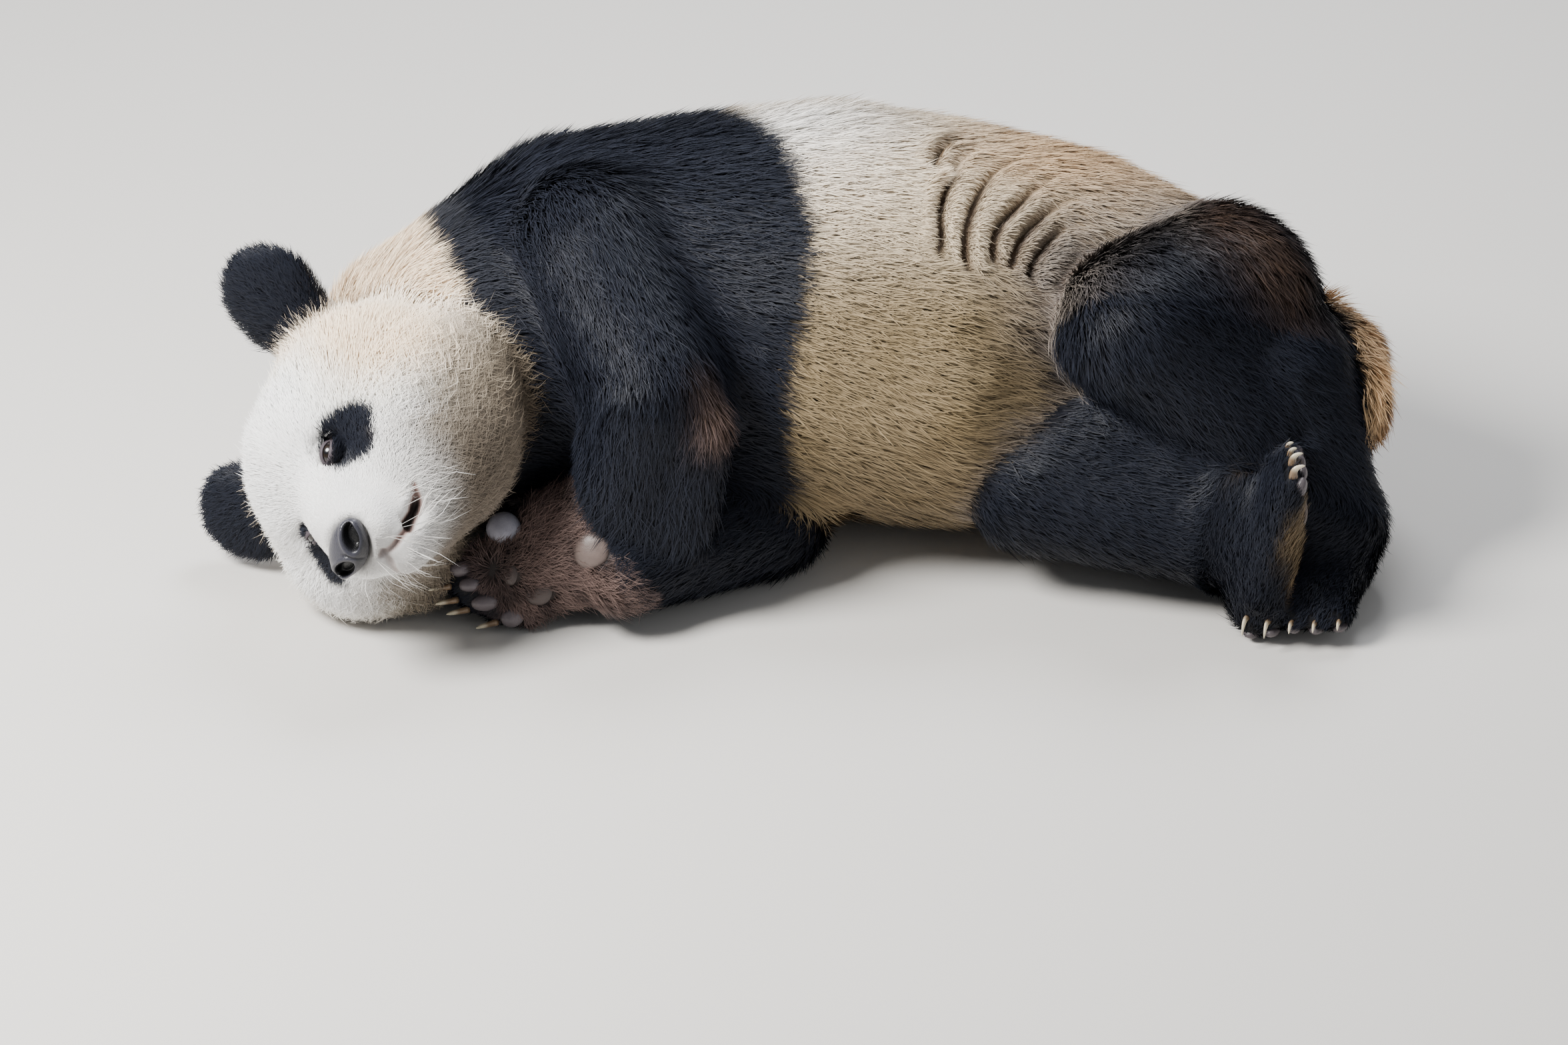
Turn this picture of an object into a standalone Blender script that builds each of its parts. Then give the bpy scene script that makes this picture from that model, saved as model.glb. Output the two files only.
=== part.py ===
"""A giant panda lying on its right side, head bent down to its chest: a life-size still model.

Frame: metres, +Z up. +X runs from the head to the rump, -Y is the belly side and +Z is the animal's
left side, which lies uppermost. The origin is the middle of the model's footprint, on the floor.

Each region is a chain of fattened balls. Neighbouring balls are wrapped in a hull, the hulls of one
region are fused and softened into one body, and the bodies are parted where a keeper would name the
pieces. All sizes run out to the tips of the coat.
"""
import bmesh
import bpy
from mathutils import Matrix, Vector
from mathutils.bvhtree import BVHTree

# Clearances, metres.
GAP = 0.0010                 # between touching pieces
PART_GAP = 0.0004            # of the thin cuts that part a limb
FLOOR = 0.008                # height of the cut that presses the underside flat
LIMB_VOXEL = 0.007           # grain at which a limb's shapes are fused

# The head: its middle, and the way it looks.
HEAD_CENTRE = Vector((-0.446, -0.160, 0.184))
NOSE_WAY = Vector((-0.353, -0.934, 0.048))
CROWN_WAY = Vector((-0.911, 0.357, 0.200))
EAR_RADIUS = 0.060
EAR_SPREAD = 0.132
EAR_HEIGHT = 0.130
EAR_SLIP = 0.010             # the upper ear is carried a little higher than the lower one
EYE_RADIUS = 0.0145
EYE_LEFT = 0.061             # how far each eye stands off the middle of the face
EYE_RIGHT = -0.050
EYE_HEIGHT = -0.002
EYE_DEPTH = 0.014            # from the coat's surface to the eyeball's middle
EYE_DISH = 0.022             # radius of the hollow round each eye
NOSE_HALF = (0.016, 0.033, 0.021)

# Feet.
CLAW_LENGTH = 0.026
CLAW_RADIUS = 0.0045

# Joints of the limbs, where the bones would meet.
RIGHT_SHOULDER = Vector((-0.190, -0.030, 0.140))
RIGHT_ELBOW = Vector((-0.022, -0.114, 0.080))
RIGHT_WRIST = Vector((-0.165, -0.222, 0.078))
LEFT_SHOULDER = Vector((-0.215, -0.030, 0.345))
LEFT_ELBOW = Vector((-0.140, -0.185, 0.285))
LEFT_WRIST = Vector((-0.158, -0.200, 0.135))
RIGHT_HIP = Vector((0.450, -0.030, 0.130))
RIGHT_KNEE = Vector((0.268, -0.128, 0.135))
RIGHT_ANKLE = Vector((0.470, -0.178, 0.108))
LEFT_HIP = Vector((0.462, -0.030, 0.282))
LEFT_KNEE = Vector((0.368, -0.128, 0.322))
LEFT_ANKLE = Vector((0.592, -0.140, 0.095))

# Rings of the trunk: middle, then half length, half depth and half breadth.
TRUNK = (
    (-0.390, -0.030, 0.195, 0.10, 0.170, 0.180),
    (-0.250, 0.045, 0.222, 0.14, 0.215, 0.222),
    (-0.100, 0.060, 0.230, 0.14, 0.235, 0.230),
    (0.050, 0.065, 0.235, 0.14, 0.262, 0.234),
    (0.170, 0.050, 0.228, 0.12, 0.262, 0.228),
    (0.330, 0.062, 0.213, 0.12, 0.178, 0.212),
    (0.470, 0.020, 0.188, 0.10, 0.150, 0.184),
    (0.545, -0.015, 0.165, 0.08, 0.115, 0.148),
)

# Colours of the coat and of the bare parts.
CREAM = (0.78, 0.70, 0.58, 1.0)
BLACK = (0.018, 0.018, 0.022, 1.0)
LEATHER = (0.03, 0.028, 0.03, 1.0)


# ------------------------------------------------------------------ tools
def clear_scene():
    for obj in list(bpy.data.objects):
        bpy.data.objects.remove(obj, do_unlink=True)


def frame_of(forward, up):
    """A matrix whose columns point forward, left and up."""
    forward = Vector(forward).normalized()
    left = Vector(up).cross(forward).normalized()
    return Matrix((forward, left, forward.cross(left))).transposed()


WORLD = Matrix.Identity(3)
HEAD = frame_of(NOSE_WAY, CROWN_WAY)


def ball(centre, radii, turn=WORLD):
    """An ellipsoid: its middle, its half sizes along the turned axes, and the turn."""
    if isinstance(radii, float):
        radii = (radii, radii, radii)
    return Vector(centre), Vector(radii), turn


def head_point(forward, left, up):
    return HEAD_CENTRE + HEAD @ Vector((forward, left, up))


def head_ball(forward, left, up, radii):
    return ball(head_point(forward, left, up), radii, HEAD)


def hull(balls, fineness=3):
    """The convex body that wraps the balls."""
    bm = bmesh.new()
    for centre, radii, turn in balls:
        place = Matrix.Translation(centre) @ turn.to_4x4() @ Matrix.Diagonal((*radii, 1.0))
        bmesh.ops.create_icosphere(bm, subdivisions=fineness, radius=1.0, matrix=place)
    made = bmesh.ops.convex_hull(bm, input=bm.verts, use_existing_faces=False)
    inner = {g for g in made["geom_interior"] if isinstance(g, bmesh.types.BMVert)}
    bmesh.ops.delete(bm, geom=list(inner), context="VERTS")
    outer = {g for g in made["geom"] if isinstance(g, bmesh.types.BMFace)}
    spare = [face for face in bm.faces if face not in outer]
    bmesh.ops.delete(bm, geom=spare, context="FACES")
    bmesh.ops.recalc_face_normals(bm, faces=bm.faces)
    mesh = bpy.data.meshes.new("hull")
    bm.to_mesh(mesh)
    bm.free()
    return mesh


def chain(*balls):
    """A hull round each two neighbours of a row of balls."""
    return [hull(pair) for pair in zip(balls, balls[1:])]


def add_object(name, mesh):
    obj = bpy.data.objects.new(name, mesh)
    bpy.context.scene.collection.objects.link(obj)
    return obj


def bake(obj):
    """Puts the modifiers' result into the object's mesh."""
    graph = bpy.context.evaluated_depsgraph_get()
    mesh = bpy.data.meshes.new_from_object(obj.evaluated_get(graph))
    obj.modifiers.clear()
    obj.data = mesh
    return obj


def islands_of(bm):
    """The connected groups of vertices, smallest first."""
    unseen = set(bm.verts)
    islands = []
    while unseen:
        stack = [unseen.pop()]
        island = set(stack)
        while stack:
            for edge in stack.pop().link_edges:
                for vert in edge.verts:
                    if vert in unseen:
                        unseen.discard(vert)
                        island.add(vert)
                        stack.append(vert)
        islands.append(island)
    return sorted(islands, key=len)


def keep_largest(obj):
    """Drops crumbs that a cut left beside the main body."""
    bm = bmesh.new()
    bm.from_mesh(obj.data)
    for island in islands_of(bm)[:-1]:
        bmesh.ops.delete(bm, geom=list(island), context="VERTS")
    bmesh.ops.triangulate(bm, faces=bm.faces)
    bm.to_mesh(obj.data)
    bm.free()
    return obj


def fuse(name, meshes, voxel, softening, triangles):
    """One closed body round all the hulls, softened, and thinned to about this many triangles."""
    bm = bmesh.new()
    for mesh in meshes:
        bm.from_mesh(mesh)
    joined = bpy.data.meshes.new(name)
    bm.to_mesh(joined)
    bm.free()
    obj = add_object(name, joined)
    remesh = obj.modifiers.new("fuse", "REMESH")
    remesh.mode = "VOXEL"
    remesh.voxel_size = voxel
    soften = obj.modifiers.new("soften", "SMOOTH")
    soften.factor = 0.5
    soften.iterations = softening
    bake(obj)
    thin = obj.modifiers.new("thin", "DECIMATE")
    thin.ratio = min(1.0, triangles / (2 * len(obj.data.polygons)))
    return keep_largest(bake(obj))


def boolean(obj, other, operation):
    cut = obj.modifiers.new("boolean", "BOOLEAN")
    cut.operation = operation
    cut.solver = "EXACT"
    cut.object = other
    return bake(obj)


def swollen(mesh):
    """A copy of the mesh whose faces all stand out by the clearance."""
    bm = bmesh.new()
    bm.from_mesh(mesh)
    steps = [(vert, vert.normal * GAP * min(vert.calc_shell_factor(), 6.0)) for vert in bm.verts]
    for vert, step in steps:
        vert.co += step
    fatter = bpy.data.meshes.new("swollen")
    bm.to_mesh(fatter)
    bm.free()
    return fatter


def carve(obj, *neighbours):
    """Cuts the neighbours out of the object, leaving the clearance."""
    for neighbour in neighbours:
        cutter = add_object("cutter", swollen(neighbour.data))
        boolean(obj, cutter, "DIFFERENCE")
        bpy.data.objects.remove(cutter, do_unlink=True)
    return keep_largest(obj)


def slice_off(obj, name, point, normal):
    """A new object: what lies past the plane, closed by a flat face."""
    bm = bmesh.new()
    bm.from_mesh(obj.data)
    cut = bmesh.ops.bisect_plane(bm, geom=bm.verts[:] + bm.edges[:] + bm.faces[:], dist=1e-6,
                                 plane_co=point, plane_no=normal, clear_inner=True)
    rim = [g for g in cut["geom_cut"] if isinstance(g, bmesh.types.BMEdge)]
    bmesh.ops.triangle_fill(bm, edges=rim, use_beauty=True)
    bmesh.ops.recalc_face_normals(bm, faces=bm.faces)
    mesh = bpy.data.meshes.new(name)
    bm.to_mesh(mesh)
    bm.free()
    return keep_largest(add_object(name, mesh))


def part(obj, near_name, far_name, point, normal):
    """Parts the object with a thin flat cut; the far piece lies on the normal's side."""
    normal = Vector(normal).normalized()
    step = normal * (PART_GAP / 2)
    near = slice_off(obj, near_name, point - step, -normal)
    far = slice_off(obj, far_name, point + step, normal)
    bpy.data.objects.remove(obj, do_unlink=True)
    return near, far


def mitre(before, joint, after):
    """The normal of the plane that halves the bend of a limb at a joint."""
    return (joint - before).normalized() + (after - joint).normalized()


# ------------------------------------------------------------------ head
def make_head():
    shapes = [hull([head_ball(0.0, 0.0, 0.0, (0.135, 0.172, 0.128)),
                    head_ball(0.048, 0.0, 0.018, (0.092, 0.118, 0.104))])]
    jaw = head_ball(0.106, 0.004, -0.098, (0.060, 0.054, 0.044))
    cheek = head_ball(0.002, 0.074, -0.042, (0.113, 0.103, 0.112))
    jowl = head_ball(0.044, 0.055, -0.080, (0.095, 0.096, 0.096))
    shapes += chain(cheek, jowl, jaw)
    pressed = head_ball(0.024, -0.096, -0.020, (0.092, 0.087, 0.094))
    tucked = head_ball(0.048, -0.036, -0.060, (0.085, 0.064, 0.070))
    shapes += chain(head_ball(0.0, -0.050, -0.020, (0.11, 0.10, 0.105)), pressed, tucked, jaw)
    face = head_ball(0.055, 0.012, -0.055, (0.082, 0.080, 0.074))
    brow = head_ball(0.080, 0.010, 0.000, (0.056, 0.076, 0.062))
    bridge = head_ball(0.136, 0.0, -0.040, (0.048, 0.043, 0.046))
    snout = head_ball(0.162, 0.0, -0.068, (0.038, 0.052, 0.040))
    chin = head_ball(0.148, -0.004, -0.114, (0.030, 0.036, 0.025))
    shapes += chain(brow, bridge, snout) + chain(face, bridge) + chain(jaw, chin)
    return fuse("head", shapes, 0.0065, 5, 900)


def make_ear(name, side):
    height = EAR_HEIGHT + EAR_SLIP * side
    disc = head_ball(-0.006, EAR_SPREAD * side, height, (0.018, EAR_RADIUS, EAR_RADIUS))
    root = head_ball(-0.006, EAR_SPREAD * side * 0.80, height * 0.72, (0.024, 0.046, 0.046))
    return fuse(name, [hull([disc, root])], 0.006, 2, 140)


def make_eyes(head):
    """The two eyeballs, each in a shallow dish pressed into the head."""
    tree = BVHTree.FromObject(head, bpy.context.evaluated_depsgraph_get())
    forward = HEAD.col[0]
    eyes = []
    for name, spread in (("eye_left", EYE_LEFT), ("eye_right", EYE_RIGHT)):
        surface, out = tree.ray_cast(head_point(0.3, spread, EYE_HEIGHT), -forward)[:2]
        dish = add_object("dish", hull([ball(surface + out * 0.015, EYE_DISH)], 2))
        boolean(head, dish, "DIFFERENCE")
        bpy.data.objects.remove(dish, do_unlink=True)
        eyes.append(add_object(name, hull([ball(surface - out * EYE_DEPTH, EYE_RADIUS)], 2)))
    return eyes


def make_nose():
    return add_object("nose", hull([head_ball(0.190, -0.003, -0.066, NOSE_HALF)], 2))


# ------------------------------------------------------------------ trunk
def make_torso():
    balls = [ball(row[:3], row[3:]) for row in TRUNK]
    nape = ball((-0.425, 0.005, 0.250), 0.085)
    return fuse("torso", chain(nape, *balls), 0.012, 8, 720)


def make_tail():
    root = ball((0.590, 0.075, 0.205), (0.040, 0.045, 0.050))
    middle = ball((0.632, 0.010, 0.200), (0.034, 0.052, 0.060))
    tip = ball((0.642, -0.075, 0.195), (0.026, 0.045, 0.050))
    return fuse("tail", chain(root, middle, tip), 0.009, 4, 130)


# ------------------------------------------------------------------ paws
def digit_shapes(palm, fingers, across, sole, roots, reach, radius, curl, lean=0.0):
    """The digits of a paw, and its claws apart from them. Roots are (across, along) the paw."""
    digits = []
    claws = []
    for side, along in roots:
        root = palm + across * side + fingers * along
        heading = (fingers + across * (lean + side * 2.5)).normalized()
        tip = root + heading * reach + sole * curl * 0.3
        digits.append(hull([ball(root, radius * 1.1), ball(tip, radius)]))
        base = tip + heading * radius * 0.55 - sole * radius * 0.15
        bend = base + heading * CLAW_LENGTH * 0.55 + sole * curl * 0.15
        point = base + heading * CLAW_LENGTH * 0.95 + sole * curl
        claws.append(hull([ball(base, CLAW_RADIUS), ball(bend, CLAW_RADIUS * 0.85),
                           ball(point, CLAW_RADIUS * 0.3)], 1))
    return digits, claws


def even_roots(spacing, along, droop, slant=0.0):
    """Five digit roots on a shallow arc, which may slant across the paw."""
    return tuple((spacing * i, along - droop * i * i - slant * i) for i in (-2, -1, 0, 1, 2))


def fuse_limb(name, shapes, claws, softening, triangles):
    """A limb as one body, with its claws joined to it."""
    limb = fuse(name, shapes, LIMB_VOXEL, softening, triangles)
    for claw in claws:
        tool = add_object("claw", claw)
        boolean(limb, tool, "UNION")
        bpy.data.objects.remove(tool, do_unlink=True)
    return keep_largest(limb)


# ------------------------------------------------------------------ limbs
def make_right_arm():
    """The lower foreleg: it lies along the floor, its palm upright and turned out from the belly."""
    fingers = Vector((-0.850, -0.265, -0.459)).normalized()
    thumb = Vector((-0.530, 0.425, 0.736)).normalized()
    palm_way = thumb.cross(fingers)
    turn = Matrix((fingers, thumb, palm_way)).transposed()
    palm = Vector((-0.262, -0.212, 0.080))
    roots = ((0.023, 0.048), (0.010, 0.066), (-0.005, 0.067), (-0.019, 0.062), (-0.045, 0.042))
    digits, claws = digit_shapes(palm, fingers, thumb, palm_way, roots, 0.026, 0.0155, 0.006, 0.40)
    pad = ball(palm, (0.060, 0.064, 0.036), turn)
    heel = ball(palm - fingers * 0.052 - thumb * 0.006, (0.046, 0.062, 0.038), turn)
    shapes = chain(ball(RIGHT_SHOULDER, 0.095), ball(RIGHT_ELBOW, 0.080), ball(RIGHT_WRIST, 0.060))
    shapes += chain(ball(RIGHT_WRIST, 0.060), heel, pad) + digits
    return fuse_limb("right_arm", shapes, claws, 3, 700)


def make_left_arm():
    """The upper foreleg: it hangs down the chest, and its paw is tucked behind the other one."""
    fingers = Vector((-0.93, 0.12, -0.34)).normalized()
    dorsum = Vector((0.10, -0.90, 0.42))
    thumb = dorsum.cross(fingers).normalized()
    sole = thumb.cross(fingers).normalized()
    if sole.dot(dorsum) > 0:
        sole = -sole
    palm = Vector((-0.226, -0.160, 0.088))
    turn = Matrix((fingers, thumb, fingers.cross(thumb))).transposed()
    digits, claws = digit_shapes(palm, fingers, thumb, sole, even_roots(0.020, 0.040, 0.002),
                                 0.022, 0.0165, 0.006)
    wrist = ball(LEFT_WRIST, (0.066, 0.052, 0.066))
    shapes = chain(ball(LEFT_SHOULDER, 0.115), ball(LEFT_ELBOW, 0.080), wrist)
    shapes += chain(wrist, ball(palm, (0.050, 0.054, 0.030), turn)) + digits
    fringe = ball((-0.092, -0.238, 0.128), (0.026, 0.016, 0.030))
    shapes += [hull([ball((-0.090, -0.215, 0.250), (0.045, 0.04, 0.05)), fringe, wrist])]
    return fuse_limb("left_arm", shapes, claws, 4, 430)


def make_right_leg():
    """The lower hind leg: the shank lies back along the thigh, the foot stands with its toes up."""
    toes = Vector((0.17, 0.12, 0.978)).normalized()
    sole = Vector((1.0, 0.0, -0.17)).normalized()
    across = toes.cross(sole).normalized()
    heel = Vector((0.508, -0.252, 0.047))
    turn = Matrix((toes, across, toes.cross(across))).transposed()
    instep = heel + toes * 0.112
    digits, claws = digit_shapes(instep, toes, across, sole, even_roots(0.0215, 0.030, 0.0018),
                                 0.022, 0.0165, 0.006)
    inner = ball((0.370, -0.110, 0.180), 0.085)
    shapes = chain(ball(RIGHT_HIP, 0.12), ball(RIGHT_KNEE, 0.092), ball(RIGHT_ANKLE, 0.080))
    shapes += chain(ball(RIGHT_KNEE, 0.092), inner, ball(RIGHT_ANKLE, 0.075))
    foot = ball(heel, (0.046, 0.044, 0.036), turn)
    middle = ball(instep, (0.045, 0.056, 0.030), turn)
    shapes += chain(foot, middle) + digits
    shapes += [hull([ball(RIGHT_ANKLE, 0.070), ball(heel + toes * 0.05, (0.05, 0.045, 0.034), turn)])]
    return fuse_limb("right_leg", shapes, claws, 4, 560)


def make_left_leg():
    """The upper hind leg: a broad haunch, and a shank that reaches down behind the other foot."""
    toes = Vector((-0.38, -0.925, -0.03)).normalized()
    sole = Vector((0.0, 0.0, -1.0))
    across = toes.cross(sole).normalized()
    turn = Matrix((toes, across, toes.cross(across))).transposed()
    heel = Vector((0.596, -0.152, 0.046))
    instep = heel + toes * 0.085
    roots = even_roots(0.0215, 0.030, 0.0018, 0.006)
    digits, claws = digit_shapes(instep, toes, across, sole, roots, 0.022, 0.0165, 0.010)
    shapes = chain(ball(LEFT_HIP, 0.130), ball(LEFT_KNEE, 0.092), ball(LEFT_ANKLE, 0.066))
    shapes += [hull([ball((0.500, -0.065, 0.235), 0.118), ball(LEFT_ANKLE, 0.060)])]
    shapes += chain(ball(LEFT_ANKLE, 0.062), ball(heel, (0.05, 0.048, 0.046), turn),
                    ball(instep, (0.045, 0.054, 0.032), turn)) + digits
    return fuse_limb("left_leg", shapes, claws, 4, 540)


# ------------------------------------------------------------------ assembly
def flatten(obj):
    """Presses flat whatever reaches below the floor."""
    if min(vert.co.z for vert in obj.data.vertices) > FLOOR:
        return obj
    name = obj.name
    obj.name = "worn"
    flat = slice_off(obj, name, Vector((0.0, 0.0, FLOOR)), Vector((0.0, 0.0, 1.0)))
    bpy.data.objects.remove(obj, do_unlink=True)
    return flat


def part_limb(limb, side, names, upper, joint, tip, wrist_way):
    """Parts a limb at its elbow or knee, and at its wrist or ankle."""
    near, rest = part(limb, f"{names[0]}_{side}", "rest", joint, mitre(upper, joint, tip))
    middle, paw = part(rest, f"{names[1]}_{side}", f"{names[2]}_{side}", tip, wrist_way)
    return near, middle, paw


def finish(obj, colour, roughness):
    material = bpy.data.materials.new(obj.name)
    material.use_nodes = True
    shader = material.node_tree.nodes["Principled BSDF"]
    shader.inputs["Base Color"].default_value = colour
    shader.inputs["Roughness"].default_value = roughness
    obj.data.materials.clear()
    obj.data.materials.append(material)
    obj.data.shade_smooth()
    obj.data.set_sharp_from_angle(angle=0.9)


def centre_on_floor(objects):
    """Moves the model so that the origin is under its middle, at the floor."""
    points = [vert.co for obj in objects for vert in obj.data.vertices]
    low = Vector([min(p[i] for p in points) for i in range(3)])
    high = Vector([max(p[i] for p in points) for i in range(3)])
    shift = Vector((-(low.x + high.x) / 2, -(low.y + high.y) / 2, -low.z))
    for obj in objects:
        obj.data.transform(Matrix.Translation(shift))
    print("moved by", tuple(round(value, 4) for value in shift))


def build():
    head = make_head()
    nose = make_nose()
    ears = [make_ear("ear_left", 1), make_ear("ear_right", -1)]
    eyes = make_eyes(head)
    carve(head, *eyes, nose)
    for ear in ears:
        carve(ear, head)
    torso = carve(make_torso(), head, *ears)
    tail = carve(make_tail(), torso)
    right_arm = carve(make_right_arm(), torso, head)
    left_arm = carve(make_left_arm(), torso, head, right_arm)
    right_leg = carve(make_right_leg(), torso)
    left_leg = carve(make_left_leg(), torso, right_leg, tail)

    trunk, neck = part(torso, "trunk", "neck", Vector((-0.350, -0.02, 0.2)), (-0.92, -0.39, 0.0))
    fore = ("upper_arm", "forearm", "forepaw")
    hind = ("thigh", "shank", "hind_foot")
    pieces = [head, nose, *ears, *eyes, trunk, neck, tail]
    for limb, side, names, joints, way in (
            (right_arm, "right", fore, (RIGHT_SHOULDER, RIGHT_ELBOW, RIGHT_WRIST), (-0.95, 0.1, 0.0)),
            (left_arm, "left", fore, (LEFT_SHOULDER, LEFT_ELBOW, LEFT_WRIST), (-0.80, 0.35, -0.5)),
            (right_leg, "right", hind, (RIGHT_HIP, RIGHT_KNEE, RIGHT_ANKLE), (0.80, -0.60, 0.0)),
            (left_leg, "left", hind, (LEFT_HIP, LEFT_KNEE, LEFT_ANKLE), (-0.1, -0.75, -0.65))):
        pieces += part_limb(limb, side, names, *joints, way)
    pieces = [flatten(piece) for piece in pieces]
    dark = ("ear", "arm", "forearm", "forepaw", "thigh", "shank", "hind_foot")
    for piece in pieces:
        if piece.name == "nose" or piece.name.startswith("eye"):
            finish(piece, LEATHER, 0.3)
        elif any(word in piece.name for word in dark):
            finish(piece, BLACK, 0.8)
        else:
            finish(piece, CREAM, 0.85)
    centre_on_floor(pieces)


clear_scene()
build()
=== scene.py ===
# %% [markdown]
# # A giant panda, laid on its side
# The animal lies on its right side with its head bent to its chest, as pandas doze on a platform.
# The solids of the frame give its outline out to the tips of the coat. This lesson grows what is
# seen: one skin for the whole body, the bare parts that show (eyes, nose, lips, pads and claws), and
# a coat of many thousand flat locks that lie the way a panda's hair lies.

# %% Load the frame
import math
import bpy
import numpy as np
from mathutils import Matrix, Vector, noise
from mathutils.bvhtree import BVHTree
from mathutils.kdtree import KDTree


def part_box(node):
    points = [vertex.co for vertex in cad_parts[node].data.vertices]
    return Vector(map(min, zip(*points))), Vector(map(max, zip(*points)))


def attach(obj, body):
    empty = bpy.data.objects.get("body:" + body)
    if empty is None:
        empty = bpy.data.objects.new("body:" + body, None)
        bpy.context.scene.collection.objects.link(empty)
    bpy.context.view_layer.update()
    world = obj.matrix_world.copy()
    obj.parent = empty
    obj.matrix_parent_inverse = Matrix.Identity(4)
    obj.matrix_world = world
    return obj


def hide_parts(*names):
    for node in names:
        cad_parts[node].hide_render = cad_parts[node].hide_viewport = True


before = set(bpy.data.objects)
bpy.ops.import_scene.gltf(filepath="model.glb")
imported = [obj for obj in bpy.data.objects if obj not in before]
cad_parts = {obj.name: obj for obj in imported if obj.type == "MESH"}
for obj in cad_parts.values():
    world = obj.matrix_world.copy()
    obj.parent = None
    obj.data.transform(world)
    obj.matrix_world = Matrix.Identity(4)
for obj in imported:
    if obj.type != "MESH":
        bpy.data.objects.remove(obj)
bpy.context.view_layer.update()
print("nodes in the frame:", len(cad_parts))

# %% [markdown]
# ## Two sets of axes
# A modeller thinks of a face in the animal's own directions: forward along the nose, to its left,
# and up to the crown. The head's axes are built once from two directions, and its middle is found
# from the nose of the frame, so that every feature of the face is given as forward, left and up.
# The body was laid out from a spot on the floor, and `spot` turns such a place into the frame's.

# %% The head's axes and the laying-out spot
def frame_of(forward, up):
    forward = Vector(forward).normalized()
    left = Vector(up).cross(forward).normalized()
    return Matrix((forward, left, forward.cross(left))).transposed()


HEAD = frame_of((-0.353, -0.934, 0.048), (-0.911, 0.357, 0.200))
NOSE_AT = Vector((0.190, -0.003, -0.066))
nose_low, nose_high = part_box("nose")
HEAD_CENTRE = (nose_low + nose_high) / 2 - HEAD @ NOSE_AT
LAID = HEAD_CENTRE - Vector((-0.446, -0.160, 0.184))


def spot(x, y, z):
    return Vector((x, y, z)) + LAID


def face_point(forward, left, up):
    return HEAD_CENTRE + HEAD @ Vector((forward, left, up))


print("head centre:", tuple(round(v, 3) for v in HEAD_CENTRE))

# %% [markdown]
# ## The camera and the studio
# The animal is seen from its belly side, from thirty degrees above. A long lens far away keeps the
# head and the paw in proportion, as a keeper sees them across an enclosure. The light is a broad
# soft box high on the left over the face, with a wide weak one on the right and one behind, which
# draws a cool edge along black fur.

# %% The camera
VIEW_WIDTH = 1.742
LENS = 135.0
SENSOR = 36.0
LOOK_DOWN = math.radians(30)


def linked(name, data):
    """A new object in the scene."""
    obj = bpy.data.objects.new(name, data)
    bpy.context.scene.collection.objects.link(obj)
    return obj


def add_camera():
    away = LENS / SENSOR * VIEW_WIDTH
    data = bpy.data.cameras.new("camera")
    data.lens = LENS
    data.sensor_width = SENSOR
    camera = linked("camera", data)
    camera.location = LAID + Vector((0.0, -math.cos(LOOK_DOWN), math.sin(LOOK_DOWN))) * away
    camera.rotation_euler = (math.pi / 2 - LOOK_DOWN, 0.0, 0.0)
    bpy.context.scene.camera = camera
    print("the camera stands", round(away, 2), "m away")


add_camera()

# %% The lights
LIT_SPOT = Vector((0.0, 0.0, 0.15))
LIGHTS = (
    # name, place, size, power, colour
    ("key", (-2.0, -1.1, 2.6), 1.3, 310.0, (1.0, 0.985, 0.96)),
    ("fill", (2.4, -2.4, 1.8), 2.6, 16.0, (0.95, 0.97, 1.0)),
    ("rim", (0.4, 1.5, 2.9), 1.6, 100.0, (0.92, 0.95, 1.0)),
)


def add_light(name, place, size, power, colour):
    data = bpy.data.lights.new(name, "AREA")
    data.shape = "DISK"
    data.size = size
    data.energy = power
    data.color = colour
    light = linked(name, data)
    light.location = place
    light.rotation_euler = (LIT_SPOT - Vector(place)).to_track_quat("-Z", "Y").to_euler()


def set_inputs(node, values):
    """Gives the named inputs of a shader node these values."""
    for label, value in values.items():
        node.inputs[label].default_value = value


for row in LIGHTS:
    add_light(*row)
world = bpy.data.worlds.new("studio")
world.use_nodes = True
set_inputs(world.node_tree.nodes["Background"], {"Color": (0.92, 0.95, 1.0, 1.0), "Strength": 0.30})
bpy.context.scene.world = world
print("lights:", [row[0] for row in LIGHTS])

# %% The floor
FLOOR_SIDE = 24.0


def new_material(name, values):
    """A material whose shader has these values."""
    material = bpy.data.materials.new(name)
    material.use_nodes = True
    set_inputs(material.node_tree.nodes["Principled BSDF"], values)
    return material


bpy.ops.mesh.primitive_plane_add(size=FLOOR_SIDE, location=(0.0, 0.0, 0.0))
floor = bpy.context.object
floor.name = "floor"
floor.data.materials.append(new_material(
    "pale floor", {"Base Color": (0.62, 0.60, 0.57, 1.0), "Roughness": 0.85}))
print("the floor is", FLOOR_SIDE, "m square")

# %% [markdown]
# ## Small tools for working on a mesh
# Sculpting in code means moving many points by a rule. These helpers select and join objects, run
# an edit-mode operator or a modifier, read the points of a mesh as one array and put them back.

# %% Tools for objects and meshes
def select_only(*objects):
    bpy.ops.object.select_all(action="DESELECT")
    for obj in objects:
        obj.select_set(True)
    bpy.context.view_layer.objects.active = objects[0]


def joined(name, objects):
    """Several objects made one."""
    select_only(*objects)
    bpy.ops.object.join()
    bpy.context.object.name = name
    return bpy.context.object


def edit_all(obj, operator, **settings):
    """Runs one operator of edit mode on a whole mesh."""
    select_only(obj)
    bpy.ops.object.mode_set(mode="EDIT")
    bpy.ops.mesh.select_all(action="SELECT")
    operator(**settings)
    bpy.ops.object.mode_set(mode="OBJECT")


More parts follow.
